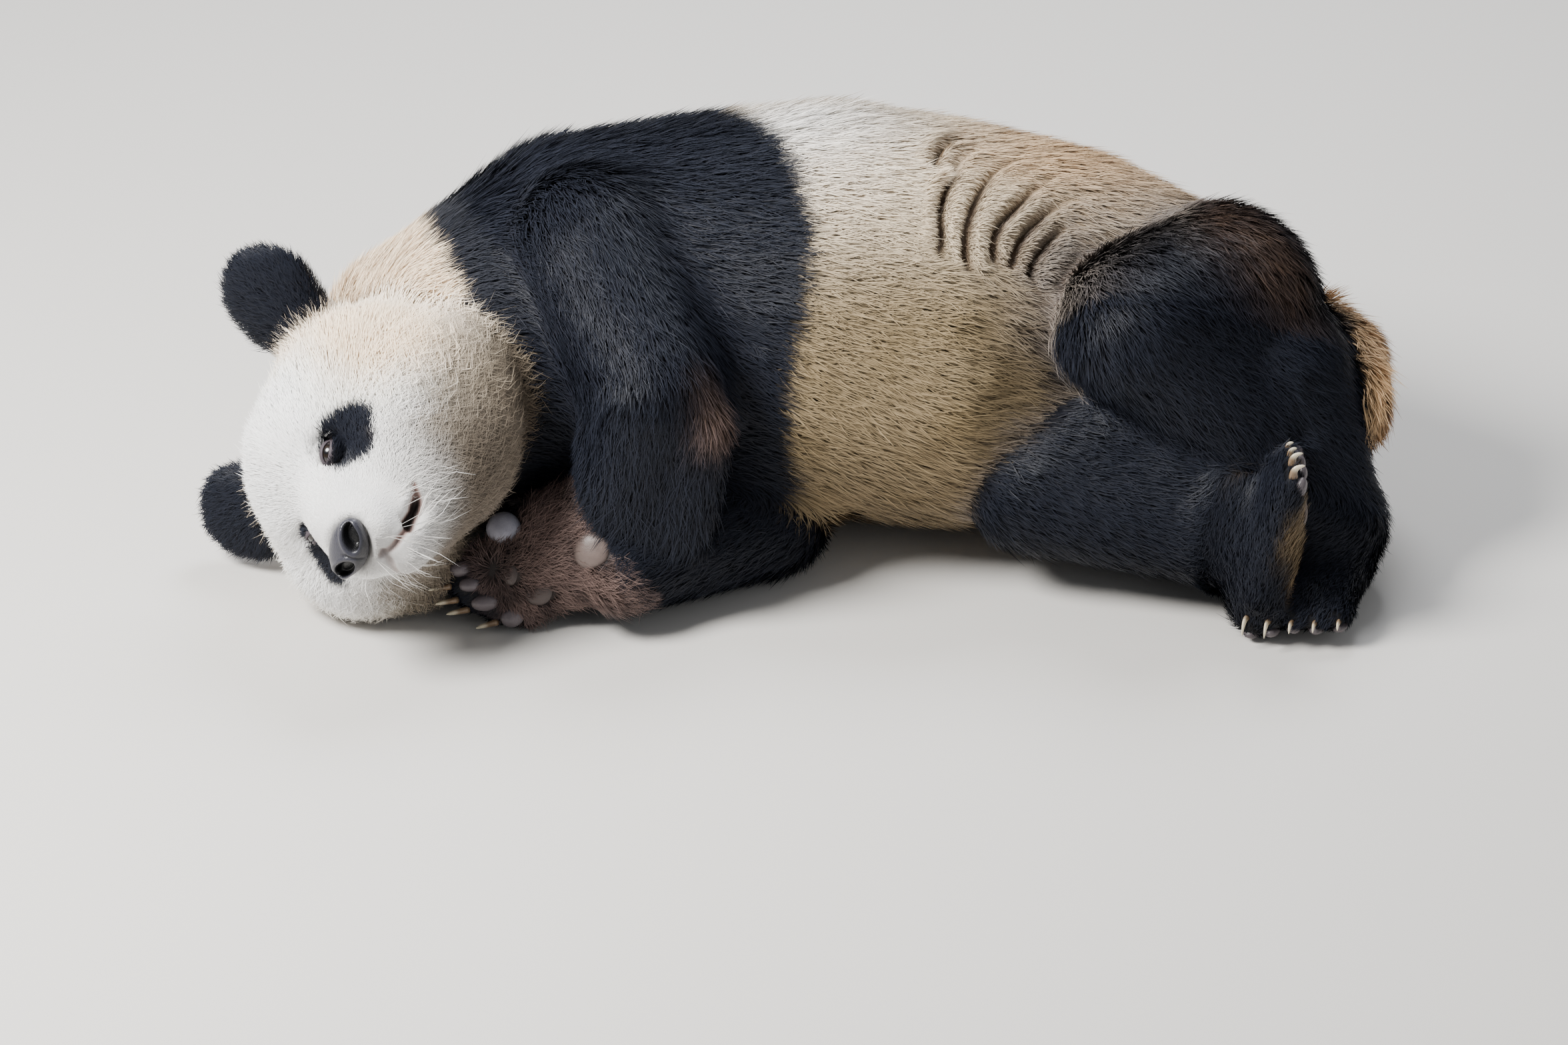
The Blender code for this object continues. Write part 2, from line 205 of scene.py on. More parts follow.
def add_modifier(obj, kind, **settings):
    """Adds a modifier with these settings and applies it."""
    select_only(obj)
    modifier = obj.modifiers.new(kind.lower(), kind)
    for key, value in settings.items():
        setattr(modifier, key, value)
    bpy.ops.object.modifier_apply(modifier=modifier.name)


def read(items, field, width=1, kind=np.float32):
    """One field of all the points, edges, faces or corners of a mesh, as an array."""
    flat = np.empty(len(items) * width, kind)
    items.foreach_get(field, flat)
    if kind is np.float32:
        flat = flat.astype(float)
    return flat.reshape(-1, width) if width > 1 else flat


def points_of(mesh):
    return read(mesh.vertices, "co", 3)


def normals_of(mesh):
    return read(mesh.vertex_normals, "vector", 3)


def edges_of(mesh):
    return read(mesh.edges, "vertices", 2, np.int32)


def put_points(mesh, points):
    mesh.vertices.foreach_set("co", points.astype(np.float32).ravel())
    mesh.update()


# %% [markdown]
# ## Small tools for numbers
# Every shape and marking below is a soft rule over the body. A ramp is an easy slope from 0 to 1, a
# cloud is a random value that changes slowly from place to place, and averaging a value with its
# neighbours along the edges is what a smoothing brush does.

# %% Tools for numbers
def averaged(values, edges, rounds):
    """The values after being averaged with their neighbours this many times."""
    values = np.array(values, float)
    table = values.reshape(len(values), -1)
    count = np.bincount(edges.ravel(), minlength=len(table))[:, None] + 1e-9
    for _ in range(rounds):
        total = np.empty_like(table)
        for column in range(table.shape[1]):
            one = np.bincount(edges[:, 0], table[edges[:, 1], column], len(table))
            two = np.bincount(edges[:, 1], table[edges[:, 0], column], len(table))
            total[:, column] = one + two
        table = table + (total / count - table)
    return table.reshape(values.shape)


def unit(vectors):
    return vectors / (np.linalg.norm(vectors, axis=-1, keepdims=True) + 1e-12)


def distance(points, place):
    return np.linalg.norm(points - place, axis=1)


def ramp(values, low, high):
    """0 below low, 1 above high and an easy slope between; it falls where low is above high."""
    share = np.clip((values - low) / (high - low), 0.0, 1.0)
    return share * share * (3 - 2 * share)


def cloud(points, size, seed=0.0):
    """A soft random value from -1 to 1 that changes over about this many metres."""
    step = Vector((seed, seed * 1.7, -seed))
    return np.array([noise.noise(Vector(p) / size + step) for p in points])


def turned(across, over, lean):
    """A flat place measured along axes that lean by this angle."""
    return (across * math.cos(lean) + over * math.sin(lean),
            over * math.cos(lean) - across * math.sin(lean))


def to_face(points):
    """World points as forward, left and up in the head's axes."""
    return (points - HEAD_CENTRE) @ HEAD


def to_layout(points):
    """World points in the place where the body was laid out."""
    return points - LAID


print("tools ready")

# %% [markdown]
# ## The paws
# Every paw is laid out by three directions: along the fingers, across them to the thumb's side, and
# out of the sole. Five digits stand on a shallow arc and spread a little, and each ends in a claw.
# This layout tells where the solids' claws are to be drawn back, and later where pads and claws go.

# %% The paws' layout
def cross(a, b):
    return Vector(a).cross(Vector(b)).normalized()


def even_roots(spacing, along, droop, slant=0.0):
    return tuple((spacing * i, along - droop * i * i - slant * i) for i in (-2, -1, 0, 1, 2))


def paw(middle, fingers, across, sole, roots, reach, radius, curl, lean=0.0, lift=-0.15):
    """Lays out digits of one reach and radius; lift moves the claws' roots towards the sole."""
    fingers = Vector(fingers).normalized()
    digits = []
    for side, along in roots:
        root = middle + across * side + fingers * along
        heading = (fingers + across * (lean + side * 2.5)).normalized()
        tip = root + heading * reach + sole * curl * 0.3
        digits.append({"root": root, "tip": tip, "heading": heading})
    return {"middle": middle, "fingers": fingers, "across": across, "sole": sole,
            "digits": digits, "radius": radius, "curl": curl, "raise": lift}


right_fingers = Vector((-0.850, -0.265, -0.459)).normalized()
right_thumb = Vector((-0.530, 0.425, 0.736)).normalized()
left_fingers = Vector((-0.93, 0.12, -0.34)).normalized()
left_thumb = cross((0.10, -0.90, 0.42), left_fingers)
up_toes = Vector((0.17, 0.12, 0.978)).normalized()
back_sole = Vector((1.0, 0.0, -0.17)).normalized()
front_toes = Vector((-0.38, -0.925, -0.03)).normalized()
down_sole = Vector((0.0, 0.0, -1.0))
RIGHT_ROOTS = ((0.023, 0.048), (0.010, 0.066), (-0.005, 0.067), (-0.019, 0.062), (-0.045, 0.042))
PAWS = {
    "forepaw_right": paw(spot(-0.262, -0.212, 0.080), right_fingers, right_thumb,
                         right_thumb.cross(right_fingers), RIGHT_ROOTS, 0.026, 0.0155, 0.006, 0.40,
                         0.35),
    "forepaw_left": paw(spot(-0.226, -0.160, 0.088), left_fingers, left_thumb,
                        -cross(left_fingers, left_thumb), even_roots(0.020, 0.040, 0.002),
                        0.022, 0.0165, 0.006),
    "hind_foot_right": paw(spot(0.508, -0.252, 0.047) + up_toes * 0.112, up_toes,
                           cross(up_toes, back_sole), back_sole,
                           even_roots(0.0215, 0.030, 0.0018), 0.022, 0.0165, 0.006),
    "hind_foot_left": paw(spot(0.596, -0.152, 0.046) + front_toes * 0.085, front_toes,
                          cross(front_toes, down_sole), down_sole,
                          even_roots(0.0215, 0.030, 0.0018, 0.006), 0.022, 0.0165, 0.010),
}
print("paws:", {name: len(each["digits"]) for name, each in PAWS.items()})

# %% [markdown]
# ## One skin for the whole body
# A real hide has no seams at the neck or the hip, so the copies of all the fleshy solids become one
# mesh. Swelling each copy by a hair's breadth closes the thin cuts between them, and a voxel remesh
# then wraps the lot. The solids reach out to the tips of the coat, so the skin is drawn in by the
# depth of the hair at each place: a few millimetres on the face, nearly two centimetres on the
# flank, where the long hair lies down.

# %% Join the flesh
BARE_NODES = ("eye_left", "eye_right", "nose")
FLESH = [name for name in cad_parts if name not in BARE_NODES]
SWELL = 0.0012
FIRST_GRAIN = 0.005


def join_flesh():
    copies = [linked("flesh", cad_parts[name].data.copy()) for name in FLESH]
    obj = joined("skin", copies)
    edit_all(obj, bpy.ops.mesh.remove_doubles, threshold=0.00002)
    obj.data.materials.clear()
    return obj


skin = join_flesh()
add_modifier(skin, "DISPLACE", strength=SWELL, mid_level=0.0)
add_modifier(skin, "REMESH", mode="VOXEL", voxel_size=FIRST_GRAIN)
print("wrapped faces:", len(skin.data.polygons))


# %% Which part of the body a point is on
def node_finder():
    """A tree of all the solids' faces, and the number of the node that each face belongs to."""
    points = []
    faces = []
    owners = []
    for number, name in enumerate(FLESH):
        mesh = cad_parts[name].data
        start = len(points)
        points += [vertex.co.copy() for vertex in mesh.vertices]
        faces += [[start + i for i in face.vertices] for face in mesh.polygons]
        owners += [number] * len(mesh.polygons)
    return BVHTree.FromPolygons(points, faces), np.array(owners)


NODE_TREE, NODE_OWNER = node_finder()


def parts_at(points):
    """The number of the node that lies nearest to each point."""
    return NODE_OWNER[[NODE_TREE.find_nearest(Vector(p))[2] for p in points]]


def kind_of(name):
    return name.split("_")[0]


def by_part(parts, table):
    """Looks each part up in a table of name: value, or of kind: value; the others get 0."""
    row = [table.get(name, table.get(kind_of(name), 0.0)) for name in FLESH]
    return np.array(row, float)[parts]


def on_parts(parts, *names):
    """1 on the parts with these names, or of these kinds, and 0 elsewhere."""
    return by_part(parts, dict.fromkeys(names, 1.0))


print("parts of flesh:", len(FLESH))

# %% Draw the skin in
SKIN_GRAIN = 0.0068
CLAW_TIPS = 0.055
LOWEST_SKIN = 0.004
DRAW_STEPS = 5
COAT_DEPTH = {"neck": 0.015, "trunk": 0.018, "tail": 0.020, "ear": 0.005, "upper": 0.017,
              "forearm": 0.014, "forepaw": 0.005, "thigh": 0.018, "shank": 0.014, "hind": 0.006}


def retract_claws(points):
    """Draws the solids' claws back into the round ends of the digits."""
    for each in PAWS.values():
        for digit in each["digits"]:
            offset = points - digit["tip"]
            along = offset @ digit["heading"]
            aside = np.linalg.norm(offset - along[:, None] * digit["heading"], axis=1)
            claw = (along > each["radius"] * 0.5) & (along < CLAW_TIPS) & (aside < 0.013)
            points[claw] = unit(offset[claw]) * each["radius"] + digit["tip"]
    return points


def coat_depth(points):
    """How far the hair stands over the skin here, in metres."""
    parts = parts_at(points)
    on_head = 0.0035 + 0.013 * ramp(distance(to_face(points), NOSE_AT), 0.06, 0.24)
    return np.where(on_parts(parts, "head") > 0.5, on_head, by_part(parts, COAT_DEPTH))


def draw_in(obj):
    """Moves the surface in by the coat's depth, a little at a time."""
    mesh = obj.data
    edges = edges_of(mesh)
    points = points_of(mesh)
    depth = averaged(coat_depth(points), edges, 12)
    for _ in range(DRAW_STEPS):
        inward = averaged(normals_of(mesh), edges, 3)
        points = points - unit(inward) * depth[:, None] / DRAW_STEPS
        points = points + (averaged(points, edges, 1) - points) * 0.12
        points[:, 2] = np.maximum(points[:, 2], LOWEST_SKIN)
        put_points(mesh, points)


put_points(skin.data, retract_claws(points_of(skin.data)))
add_modifier(skin, "SMOOTH", factor=0.5, iterations=6)
draw_in(skin)
add_modifier(skin, "REMESH", mode="VOXEL", voxel_size=SKIN_GRAIN)
add_modifier(skin, "SMOOTH", factor=0.5, iterations=2)
print("skin faces:", len(skin.data.polygons))

# %% [markdown]
# ## A finer mesh where the eye rests
# Seven millimetres is plenty under long hair, but a face needs more points. The faces of the head
# are subdivided once, and those around the eyes, nose and mouth once more. The loins are divided
# once too, for the creases that form where the upper leg is drawn up, and so is the palm.

# %% Subdivide the head, the loins and the palm
def middles_of(mesh):
    return read(mesh.polygons, "center", 3)


def subdivide_where(obj, chosen):
    select_only(obj)
    bpy.ops.object.mode_set(mode="EDIT")
    bpy.ops.mesh.select_mode(type="FACE")
    bpy.ops.mesh.select_all(action="DESELECT")
    bpy.ops.object.mode_set(mode="OBJECT")
    obj.data.polygons.foreach_set("select", chosen)
    bpy.ops.object.mode_set(mode="EDIT")
    bpy.ops.mesh.subdivide(number_cuts=1, smoothness=0.0)
    bpy.ops.object.mode_set(mode="OBJECT")


FOLD_MIDDLE = spot(0.225, -0.060, 0.415)
FOLD_REACH = 0.12
PALM_REACH = 0.105


def on_face(points):
    face = to_face(points)
    return (face[:, 0] > 0.04) & (np.abs(face[:, 1]) < 0.125) & (np.abs(face[:, 2]) < 0.15)


def near_features(points):
    face = to_face(points)
    return (face[:, 0] > 0.10) & (np.abs(face[:, 1]) < 0.080) & (np.abs(face[:, 2] + 0.055) < 0.080)


middles = middles_of(skin.data)
loins = distance(middles, FOLD_MIDDLE) < FOLD_REACH
open_palm = distance(middles, PAWS["forepaw_right"]["middle"]) < PALM_REACH
subdivide_where(skin, on_face(middles) | loins | open_palm)
subdivide_where(skin, near_features(middles_of(skin.data)))
add_modifier(skin, "SMOOTH", factor=0.5, iterations=2)
print("skin faces with the finer head:", len(skin.data.polygons))

# %% [markdown]
# ## Sculpting the face
# A panda's face is a broad dish: a short deep muzzle that steps out from under the brow, full
# cheeks from the big chewing muscles, and a small chin. Each stroke below is what a modeller does
# with a grab brush: a place on the face, how wide the brush is, and how far it pulls forward,
# left and up. A stroke off the middle is repeated on the other side.

# %% The brush strokes
STROKES = (
    # place on the face          brush   pull: forward, left, up
    ((0.168, 0.026, -0.088), 0.018, (0.004, 0.004, -0.003)),    # whisker pads
    ((0.160, 0.000, -0.030), 0.024, (0.005, 0.000, 0.004)),     # bridge of the nose
    ((0.162, 0.000, -0.128), 0.016, (0.003, 0.000, -0.003)),    # chin
    ((0.128, 0.057, -0.010), 0.020, (-0.005, 0.000, 0.000)),    # hollow of the eye
    ((0.140, 0.030, -0.018), 0.014, (-0.003, 0.000, 0.000)),    # beside the bridge
    ((0.118, 0.062, 0.032), 0.026, (0.004, 0.002, 0.002)),      # brow
    ((0.110, 0.000, 0.045), 0.030, (-0.003, 0.000, 0.000)),     # furrow of the forehead
    ((0.115, 0.080, -0.070), 0.030, (0.004, 0.004, 0.000)),     # cheek bone
    ((0.142, 0.050, -0.085), 0.014, (-0.004, 0.000, 0.000)),    # step behind the whisker pads
)


def stroke(points, face, place, brush, pull):
    """Pulls the points near a place of the face, most in the middle of the brush."""
    away = distance(face, place)
    share = np.exp(-(away / brush) ** 2)
    share[away > 2.5 * brush] = 0.0
    return points + share[:, None] * (np.array(HEAD) @ pull)


def both_sides(place, pull):
    yield place, pull
    if place[1]:
        yield (place[0], -place[1], place[2]), (pull[0], -pull[1], pull[2])


def press_nose(points):
    """A bed behind the nose pad, deep enough for its nostrils."""
    face = to_face(points)
    away = ((face[:, 1] - NOSE_AT[1]) / 0.026) ** 2 + ((face[:, 2] - NOSE_AT[2]) / 0.015) ** 2
    share = np.exp(-1.2 * away) * (face[:, 0] > 0.15)
    return points - share[:, None] * 0.015 * HEAD.col[0]


def sculpt_face(obj):
    points = points_of(obj.data)
    for place, brush, pull in STROKES:
        for at, way in both_sides(place, pull):
            points = stroke(points, to_face(points), at, brush, way)
    put_points(obj.data, press_nose(points))


sculpt_face(skin)
print("strokes on the face:", len(STROKES))

# %% [markdown]
# ## The mouth
# The mouth is shut in front and gapes a little at the upper corner. Its line runs from under the
# nose, back along the muzzle to a corner below the eye. A groove is pressed along that line, deeper
# towards the corner, so that the upper lip overhangs the lower. The gape and the line between the
# lips are painted dark as shade.

# %% The groove of the mouth
MOUTH_LINE = ((0.182, -0.003, -0.100), (0.176, 0.008, -0.108), (0.168, 0.021, -0.113),
              (0.158, 0.030, -0.116), (0.147, 0.042, -0.117), (0.142, 0.054, -0.112),
              (0.138, 0.066, -0.104))


def mouth_line(side):
    return np.array([(f, l * side, u) for f, l, u in MOUTH_LINE])


def nearest_on(line, points):
    """Distance of each point to a broken line, and how far along it the nearest spot is, 0 to 1."""
    best = np.full(len(points), 9.0)
    along = np.zeros(len(points))
    for number, (start, end) in enumerate(zip(line, line[1:])):
        way = end - start
        share = np.clip(((points - start) @ way) / (way @ way), 0.0, 1.0)
        away = np.linalg.norm(points - start - share[:, None] * way, axis=1)
        nearer = away < best
        best[nearer] = away[nearer]
        along[nearer] = (number + share[nearer]) / (len(line) - 1)
    return best, along


def gape_at(along, side):
    """How far the mouth stands open along its line: only near the upper corner."""
    return ramp(along, 0.40, 0.52) * ramp(along, 1.02, 0.70) * (side > 0)


def keep_values(mesh, name, values):
    """Stores a number with every point of a mesh, for its colours later on."""
    mesh.attributes.new(name, "FLOAT", "POINT")
    mesh.attributes[name].data.foreach_set("value", values.astype(np.float32))


def kept_values(mesh, name):
    return read(mesh.attributes[name].data, "value")


def press_mouth(obj):
    points = points_of(obj.data)
    inward = averaged(normals_of(obj.data), edges_of(obj.data), 6)
    face = to_face(points)
    lip = np.zeros(len(points))
    dark = np.zeros(len(points))
    beside = np.zeros(len(points))
    for side in (1, -1):
        away, along = nearest_on(mouth_line(side), face)
        gape = gape_at(along, side)
        wide = 0.0036 + 0.0060 * gape
        deep = (0.0050 + 0.014 * gape) * np.exp(-(away / wide) ** 2)
        points = points - unit(inward) * deep[:, None]
        seen = (1.0 if side > 0 else 0.5) * (0.40 + 0.60 * ramp(along, 0.0, 0.40))
        lip = np.maximum(lip, seen * ramp(away, 0.0055 + 0.0055 * gape, 0.0020 + 0.0050 * gape))
        # Along the line, and most where the mouth gapes: painted shade.
        line = ramp(away, 0.0022 + 0.0070 * gape, 0.0012 + 0.0045 * gape)
        dark = np.maximum(dark, line * np.maximum(gape, 0.45 * seen))
        beside = np.maximum(beside, ramp(away - 0.008 * gape, 0.018, 0.0))
    put_points(obj.data, points)
    for name, values in (("lip", lip), ("mouth_shade", dark), ("beside_lip", beside)):
        keep_values(obj.data, name, values)


press_mouth(skin)
print("the mouth line has", len(MOUTH_LINE), "places on each side")

# %% [markdown]
# ## Eyes and their sockets
# A panda's eye is small, dark and deep-set, with a slit pupil that looks round in shade. The
# eyeball stays where the frame has it. The skin is pressed in behind it, and the lids are a ring of
# their own: it starts as a rolled rim on the eyeball, lies on the ball like a real lid, and runs
# out under the hair of the face.

# %% The sockets
EYE_RADIUS = 0.0145
LID_REACH = 0.021
SLIT_HALF = (0.0116, 0.0039)


def skin_tree():
    points = [vertex.co.copy() for vertex in skin.data.vertices]
    return BVHTree.FromPolygons(points, [face.vertices[:] for face in skin.data.polygons])


def set_out_eye(name, side):
    low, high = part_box(name)
    middle = (low + high) / 2
    points = points_of(skin.data)
    near = distance(points, middle) < 0.034
    out = Vector(normals_of(skin.data)[near].mean(axis=0)).normalized()
    slit = HEAD @ Vector((-0.018, 0.026 * side, 0.008))
    slit = (slit - out * slit.dot(out)).normalized()
    return {"middle": middle, "out": out, "slit": slit, "brow": out.cross(slit) * side}


EYES = {name: set_out_eye(name, side) for name, side in (("eye_left", 1), ("eye_right", -1))}


def press_socket(points, eye):
    """Keeps the skin inside the eyeball's front, so that only the lids stand before it."""
    offset = points - eye["middle"]
    out = offset @ eye["out"]
    aside = np.linalg.norm(offset - out[:, None] * eye["out"], axis=1)
    near = (aside < LID_REACH) & (out > -0.03)
    target = np.sqrt(np.maximum(EYE_RADIUS ** 2 - aside ** 2, 0.0)) - 0.004
    share = ramp(aside, LID_REACH, EYE_RADIUS * 0.9) * near
    lower = np.minimum(out, target)
    return points + (lower - out)[:, None] * share[:, None] * eye["out"]


face_skin = points_of(skin.data)
FACE_TREE = skin_tree()
for eye in EYES.values():
    face_skin = press_socket(face_skin, eye)
put_points(skin.data, face_skin)
print("eyes:", {name: tuple(round(v, 3) for v in eye["middle"]) for name, eye in EYES.items()})

# %% The lids
RIM_RISE = (0.0, 0.0013, 0.0019, 0.0021)
ON_BALL = 0.0105
LID_STEPS = 72
LID_RINGS = 14


def add_mesh(name, points, faces):
    mesh = bpy.data.meshes.new(name)
    mesh.from_pydata([tuple(p) for p in points], [], faces)
    mesh.shade_smooth()
    return linked(name, mesh)


def surface_out(eye, aside_way, aside):
    """How far out of the eye's middle the skin stands at this distance to the side."""
    start = eye["middle"] + aside_way * aside + eye["out"] * 0.08
    hit = FACE_TREE.ray_cast(start, -eye["out"])[0]
    return (hit - eye["middle"]).dot(eye["out"]) if hit else 0.0


def lid_point(eye, ring, step):
    """One point of a lid: on the ball near the slit, and on the face farther out."""
    turn = 2 * math.pi * step / LID_STEPS
    across = math.cos(turn)
    over = math.sin(turn)
    sharp = abs(over) ** 0.35 * (1.0 if over > 0 else 0.85)
    open_half = SLIT_HALF[1] * over * sharp / max(abs(over), 0.2) ** 0.1
    share = max(0.0, ring / (LID_RINGS - 1) - 0.1) / 0.9
    grown = Vector((SLIT_HALF[0] * across, open_half)).lerp(Vector((across, over)) * LID_REACH, share)
    aside = grown.length
    aside_way = (eye["slit"] * grown.x + eye["brow"] * grown.y).normalized()
    ball = math.sqrt(max(EYE_RADIUS ** 2 - aside ** 2, 0.0)) + RIM_RISE[min(ring, 3)]
    settle = ramp(aside, ON_BALL, LID_REACH)
    edge = surface_out(eye, aside_way, LID_REACH) - 0.0015
    out = ball * (1 - settle) + edge * settle
    return eye["middle"] + aside_way * aside + eye["out"] * out


def make_lid(name, eye):
    points = [lid_point(eye, ring, step) for ring in range(LID_RINGS) for step in range(LID_STEPS)]
    faces = []
    for ring in range(LID_RINGS - 1):
        for step in range(LID_STEPS):
            a = ring * LID_STEPS + step
            b = ring * LID_STEPS + (step + 1) % LID_STEPS
            faces.append((a, b, b + LID_STEPS, a + LID_STEPS))
    obj = add_mesh(name, points, faces)
    edit_all(obj, bpy.ops.mesh.normals_make_consistent, inside=False)
    if Vector(obj.data.polygons[LID_STEPS * 6].normal).dot(eye["out"]) < 0:
        edit_all(obj, bpy.ops.mesh.flip_normals)
    return obj


lids = [make_lid(f"lid{name[3:]}", eye) for name, eye in EYES.items()]
print("lids:", [lid.name for lid in lids])

# %% [markdown]
# ## The creases of the loin
# Where the upper leg is drawn up, the loose skin of the loin gathers in folds. They fan out from the
# groin towards the back. Each crease below is a line over the flank, given by its places along the
# body and across it. The skin sinks sharply along a crease and swells softly beside it.

# %% Fold the loin
CREASES = (
    ((0.185, 0.080), (0.165, 0.045), (0.152, 0.000)),
    ((0.210, 0.090), (0.187, 0.030), (0.171, -0.020), (0.163, -0.056), (0.165, -0.080),
     (0.160, -0.122)),
    ((0.255, 0.085), (0.224, 0.020), (0.204, -0.026), (0.194, -0.060), (0.190, -0.088),
     (0.194, -0.132)),
    ((0.300, 0.060), (0.265, 0.000), (0.243, -0.032), (0.227, -0.057), (0.220, -0.076),
     (0.224, -0.108)),
    ((0.318, 0.020), (0.280, -0.025), (0.259, -0.050), (0.246, -0.072), (0.234, -0.115)),
    ((0.315, -0.020), (0.285, -0.050), (0.264, -0.078), (0.257, -0.102)),
)
FOLD_DEPTH = 0.0135
FOLD_SWELL = 0.0065


def crease_distance(points):
    """Distance of each point to the nearest crease, and how much of a crease is left there."""
    laid = to_layout(points)
    flat = laid * (1.0, 1.0, 0.0)
    best = np.full(len(points), 9.0)
    fade = np.zeros(len(points))
    for crease in CREASES:
        away, along = nearest_on(np.array([(x, y, 0.0) for x, y in crease]), flat)
        nearer = away < best
        best[nearer] = away[nearer]
        ends = ramp(along, 0.05, 0.50) * ramp(along, 1.0, 0.80)
        fade[nearer] = ends[nearer]
    fade *= ramp(laid[:, 2], 0.26, 0.30)
    return best, fade


def fold_loin(obj):
    points = points_of(obj.data)
    away, fade = crease_distance(points)
    sink = -FOLD_DEPTH * np.exp(-(away / 0.0055) ** 2)
    swell = FOLD_SWELL * np.exp(-((away - 0.015) / 0.009) ** 2)
    lift = (sink + swell) * fade * (away < 0.04)
    put_points(obj.data, points + normals_of(obj.data) * lift[:, None])


fold_loin(skin)
print("creases:", len(CREASES))

# %% [markdown]
# ## Joining the lids, and an unwrap of the skin
# The lids become part of the skin. The skin is then unwrapped once. Every lock of the coat will take
# the place of its root on that unwrap, so the colours of the coat can be kept on a flat picture.

# %% Join and unwrap
skin = joined("skin", [skin, *lids])
add_modifier(skin, "TRIANGULATE")
edit_all(skin, bpy.ops.uv.smart_project, angle_limit=math.radians(66), island_margin=0.002)
skin.data.uv_layers[0].name = "OFBake"
print("skin triangles:", len(skin.data.polygons))

# %% [markdown]
# ## Where black ends and white begins
# A panda's marks are few and large: ears, eye patches, the legs, and a band that joins the forelegs
# over the shoulders. Each is described on the body itself: a band between two edges that wander
# from the belly to the back, capsules round the bones of the hind legs, and a slanted oval round
# each eye. A little random wander keeps the edges from looking cut.

# %% The band over the shoulders
BAND_REAR = ((-0.25, -0.060), (-0.20, -0.040), (-0.16, -0.008), (-0.13, 0.010), (-0.07, 0.010),
             (-0.02, -0.004), (0.04, -0.020), (0.15, -0.085), (0.24, -0.110), (0.32, -0.120))
BAND_FRONT = ((-0.25, -0.310), (-0.17, -0.330), (-0.12, -0.360), (-0.05, -0.385), (0.02, -0.405),
              (0.15, -0.380), (0.30, -0.350))


def edge_at(edge, y):
    ys, xs = zip(*edge)
    return np.interp(y, ys, xs)


def band_mask(points):
    laid = to_layout(points)
    ragged = 0.010 * cloud(points, 0.03) + 0.004 * cloud(points, 0.008, 3.0)
    rear = edge_at(BAND_REAR, laid[:, 1]) + ragged
    front = edge_at(BAND_FRONT, laid[:, 1]) + ragged
    inside = ramp(laid[:, 0], front - 0.006, front + 0.006)
    return inside * ramp(laid[:, 0], rear + 0.008, rear - 0.008)


print("places along the band's edges:", len(BAND_REAR), len(BAND_FRONT))

# %% The legs
UPPER_HIND_LEG = (((0.470, -0.050, 0.270), 0.165), ((0.368, -0.128, 0.322), 0.125),
                  ((0.592, -0.140, 0.095), 0.120))
LOWER_HIND_LEG = (((0.450, -0.090, 0.130), 0.120), ((0.276, -0.128, 0.130), 0.100),
                  ((0.370, -0.130, 0.170), 0.105), ((0.500, -0.178, 0.108), 0.120))
HAUNCH_FRINGE = ((0.268, -0.125, 0.345), (0.288, -0.069, 0.388), (0.317, -0.032, 0.401),
                 (0.362, 0.007, 0.406), (0.407, 0.020, 0.400), (0.447, -0.010, 0.409),
                 (0.500, -0.050, 0.400), (0.545, -0.080, 0.370))
ARM_FRINGE = ((-0.078, -0.226, 0.325), (-0.070, -0.240, 0.262))
ARM_END = (-0.165, -0.225, 0.150)


def capsule_mask(points, bones, soft=0.012, wider=0.0):
    """1 inside the chain of bones, each given as a place and a radius."""
    laid = to_layout(points)
    ragged = 0.012 * cloud(points, 0.035, 5.0) + 0.006 * cloud(points, 0.010, 9.0)
    inside = np.zeros(len(points))
    for (start, start_radius), (end, end_radius) in zip(bones, bones[1:]):
        way = np.subtract(end, start)
        share = np.clip(((laid - start) @ way) / (way @ way), 0.0, 1.0)
        away = np.linalg.norm(laid - start - share[:, None] * way, axis=1)
        radius = start_radius + (end_radius - start_radius) * share + ragged + wider
        inside = np.maximum(inside, ramp(away, radius + soft, radius - soft))
    return inside


print("bones of the hind legs:", len(UPPER_HIND_LEG) - 1, len(LOWER_HIND_LEG) - 1)

# %% The eye patches, and all the black together
PATCHES = {  # middle across and up, half length and width, lean; the eye's side
    1: ((0.0745, -0.019), (0.0325, 0.0240), math.radians(-51)),
    -1: ((0.060, -0.018), (0.041, 0.0165), math.radians(-36)),
}


def patch_mask(points):
    face = to_face(points)
    ragged = 0.06 * cloud(points, 0.010, 2.0) + 0.05 * cloud(points, 0.003, 6.0)
    mask = np.zeros(len(points))
    for side, (middle, half, lean) in PATCHES.items():
        length, width = turned(face[:, 1] * side - middle[0], face[:, 2] - middle[1], lean)
        away = (np.abs(length / half[0]) ** 2.5 + np.abs(width / half[1]) ** 2.5) ** 0.4 + ragged
        mask = np.maximum(mask, ramp(away, 1.08, 0.96) * (face[:, 0] > 0.05))
    return mask


def black_mask(points, parts):
    upper_leg = capsule_mask(points, UPPER_HIND_LEG, 0.024)
    legs = np.maximum(upper_leg, capsule_mask(points, LOWER_HIND_LEG))
    mask = on_parts(parts, "ear", "upper", "forearm", "forepaw", "shank", "hind")
    mask = np.maximum(mask, on_parts(parts, "trunk", "neck") * band_mask(points))
    mask = np.maximum(mask, on_parts(parts, "trunk", "thigh", "shank") * legs)
    return np.maximum(mask, on_parts(parts, "head") * patch_mask(points))


print("eye patches:", len(PATCHES))
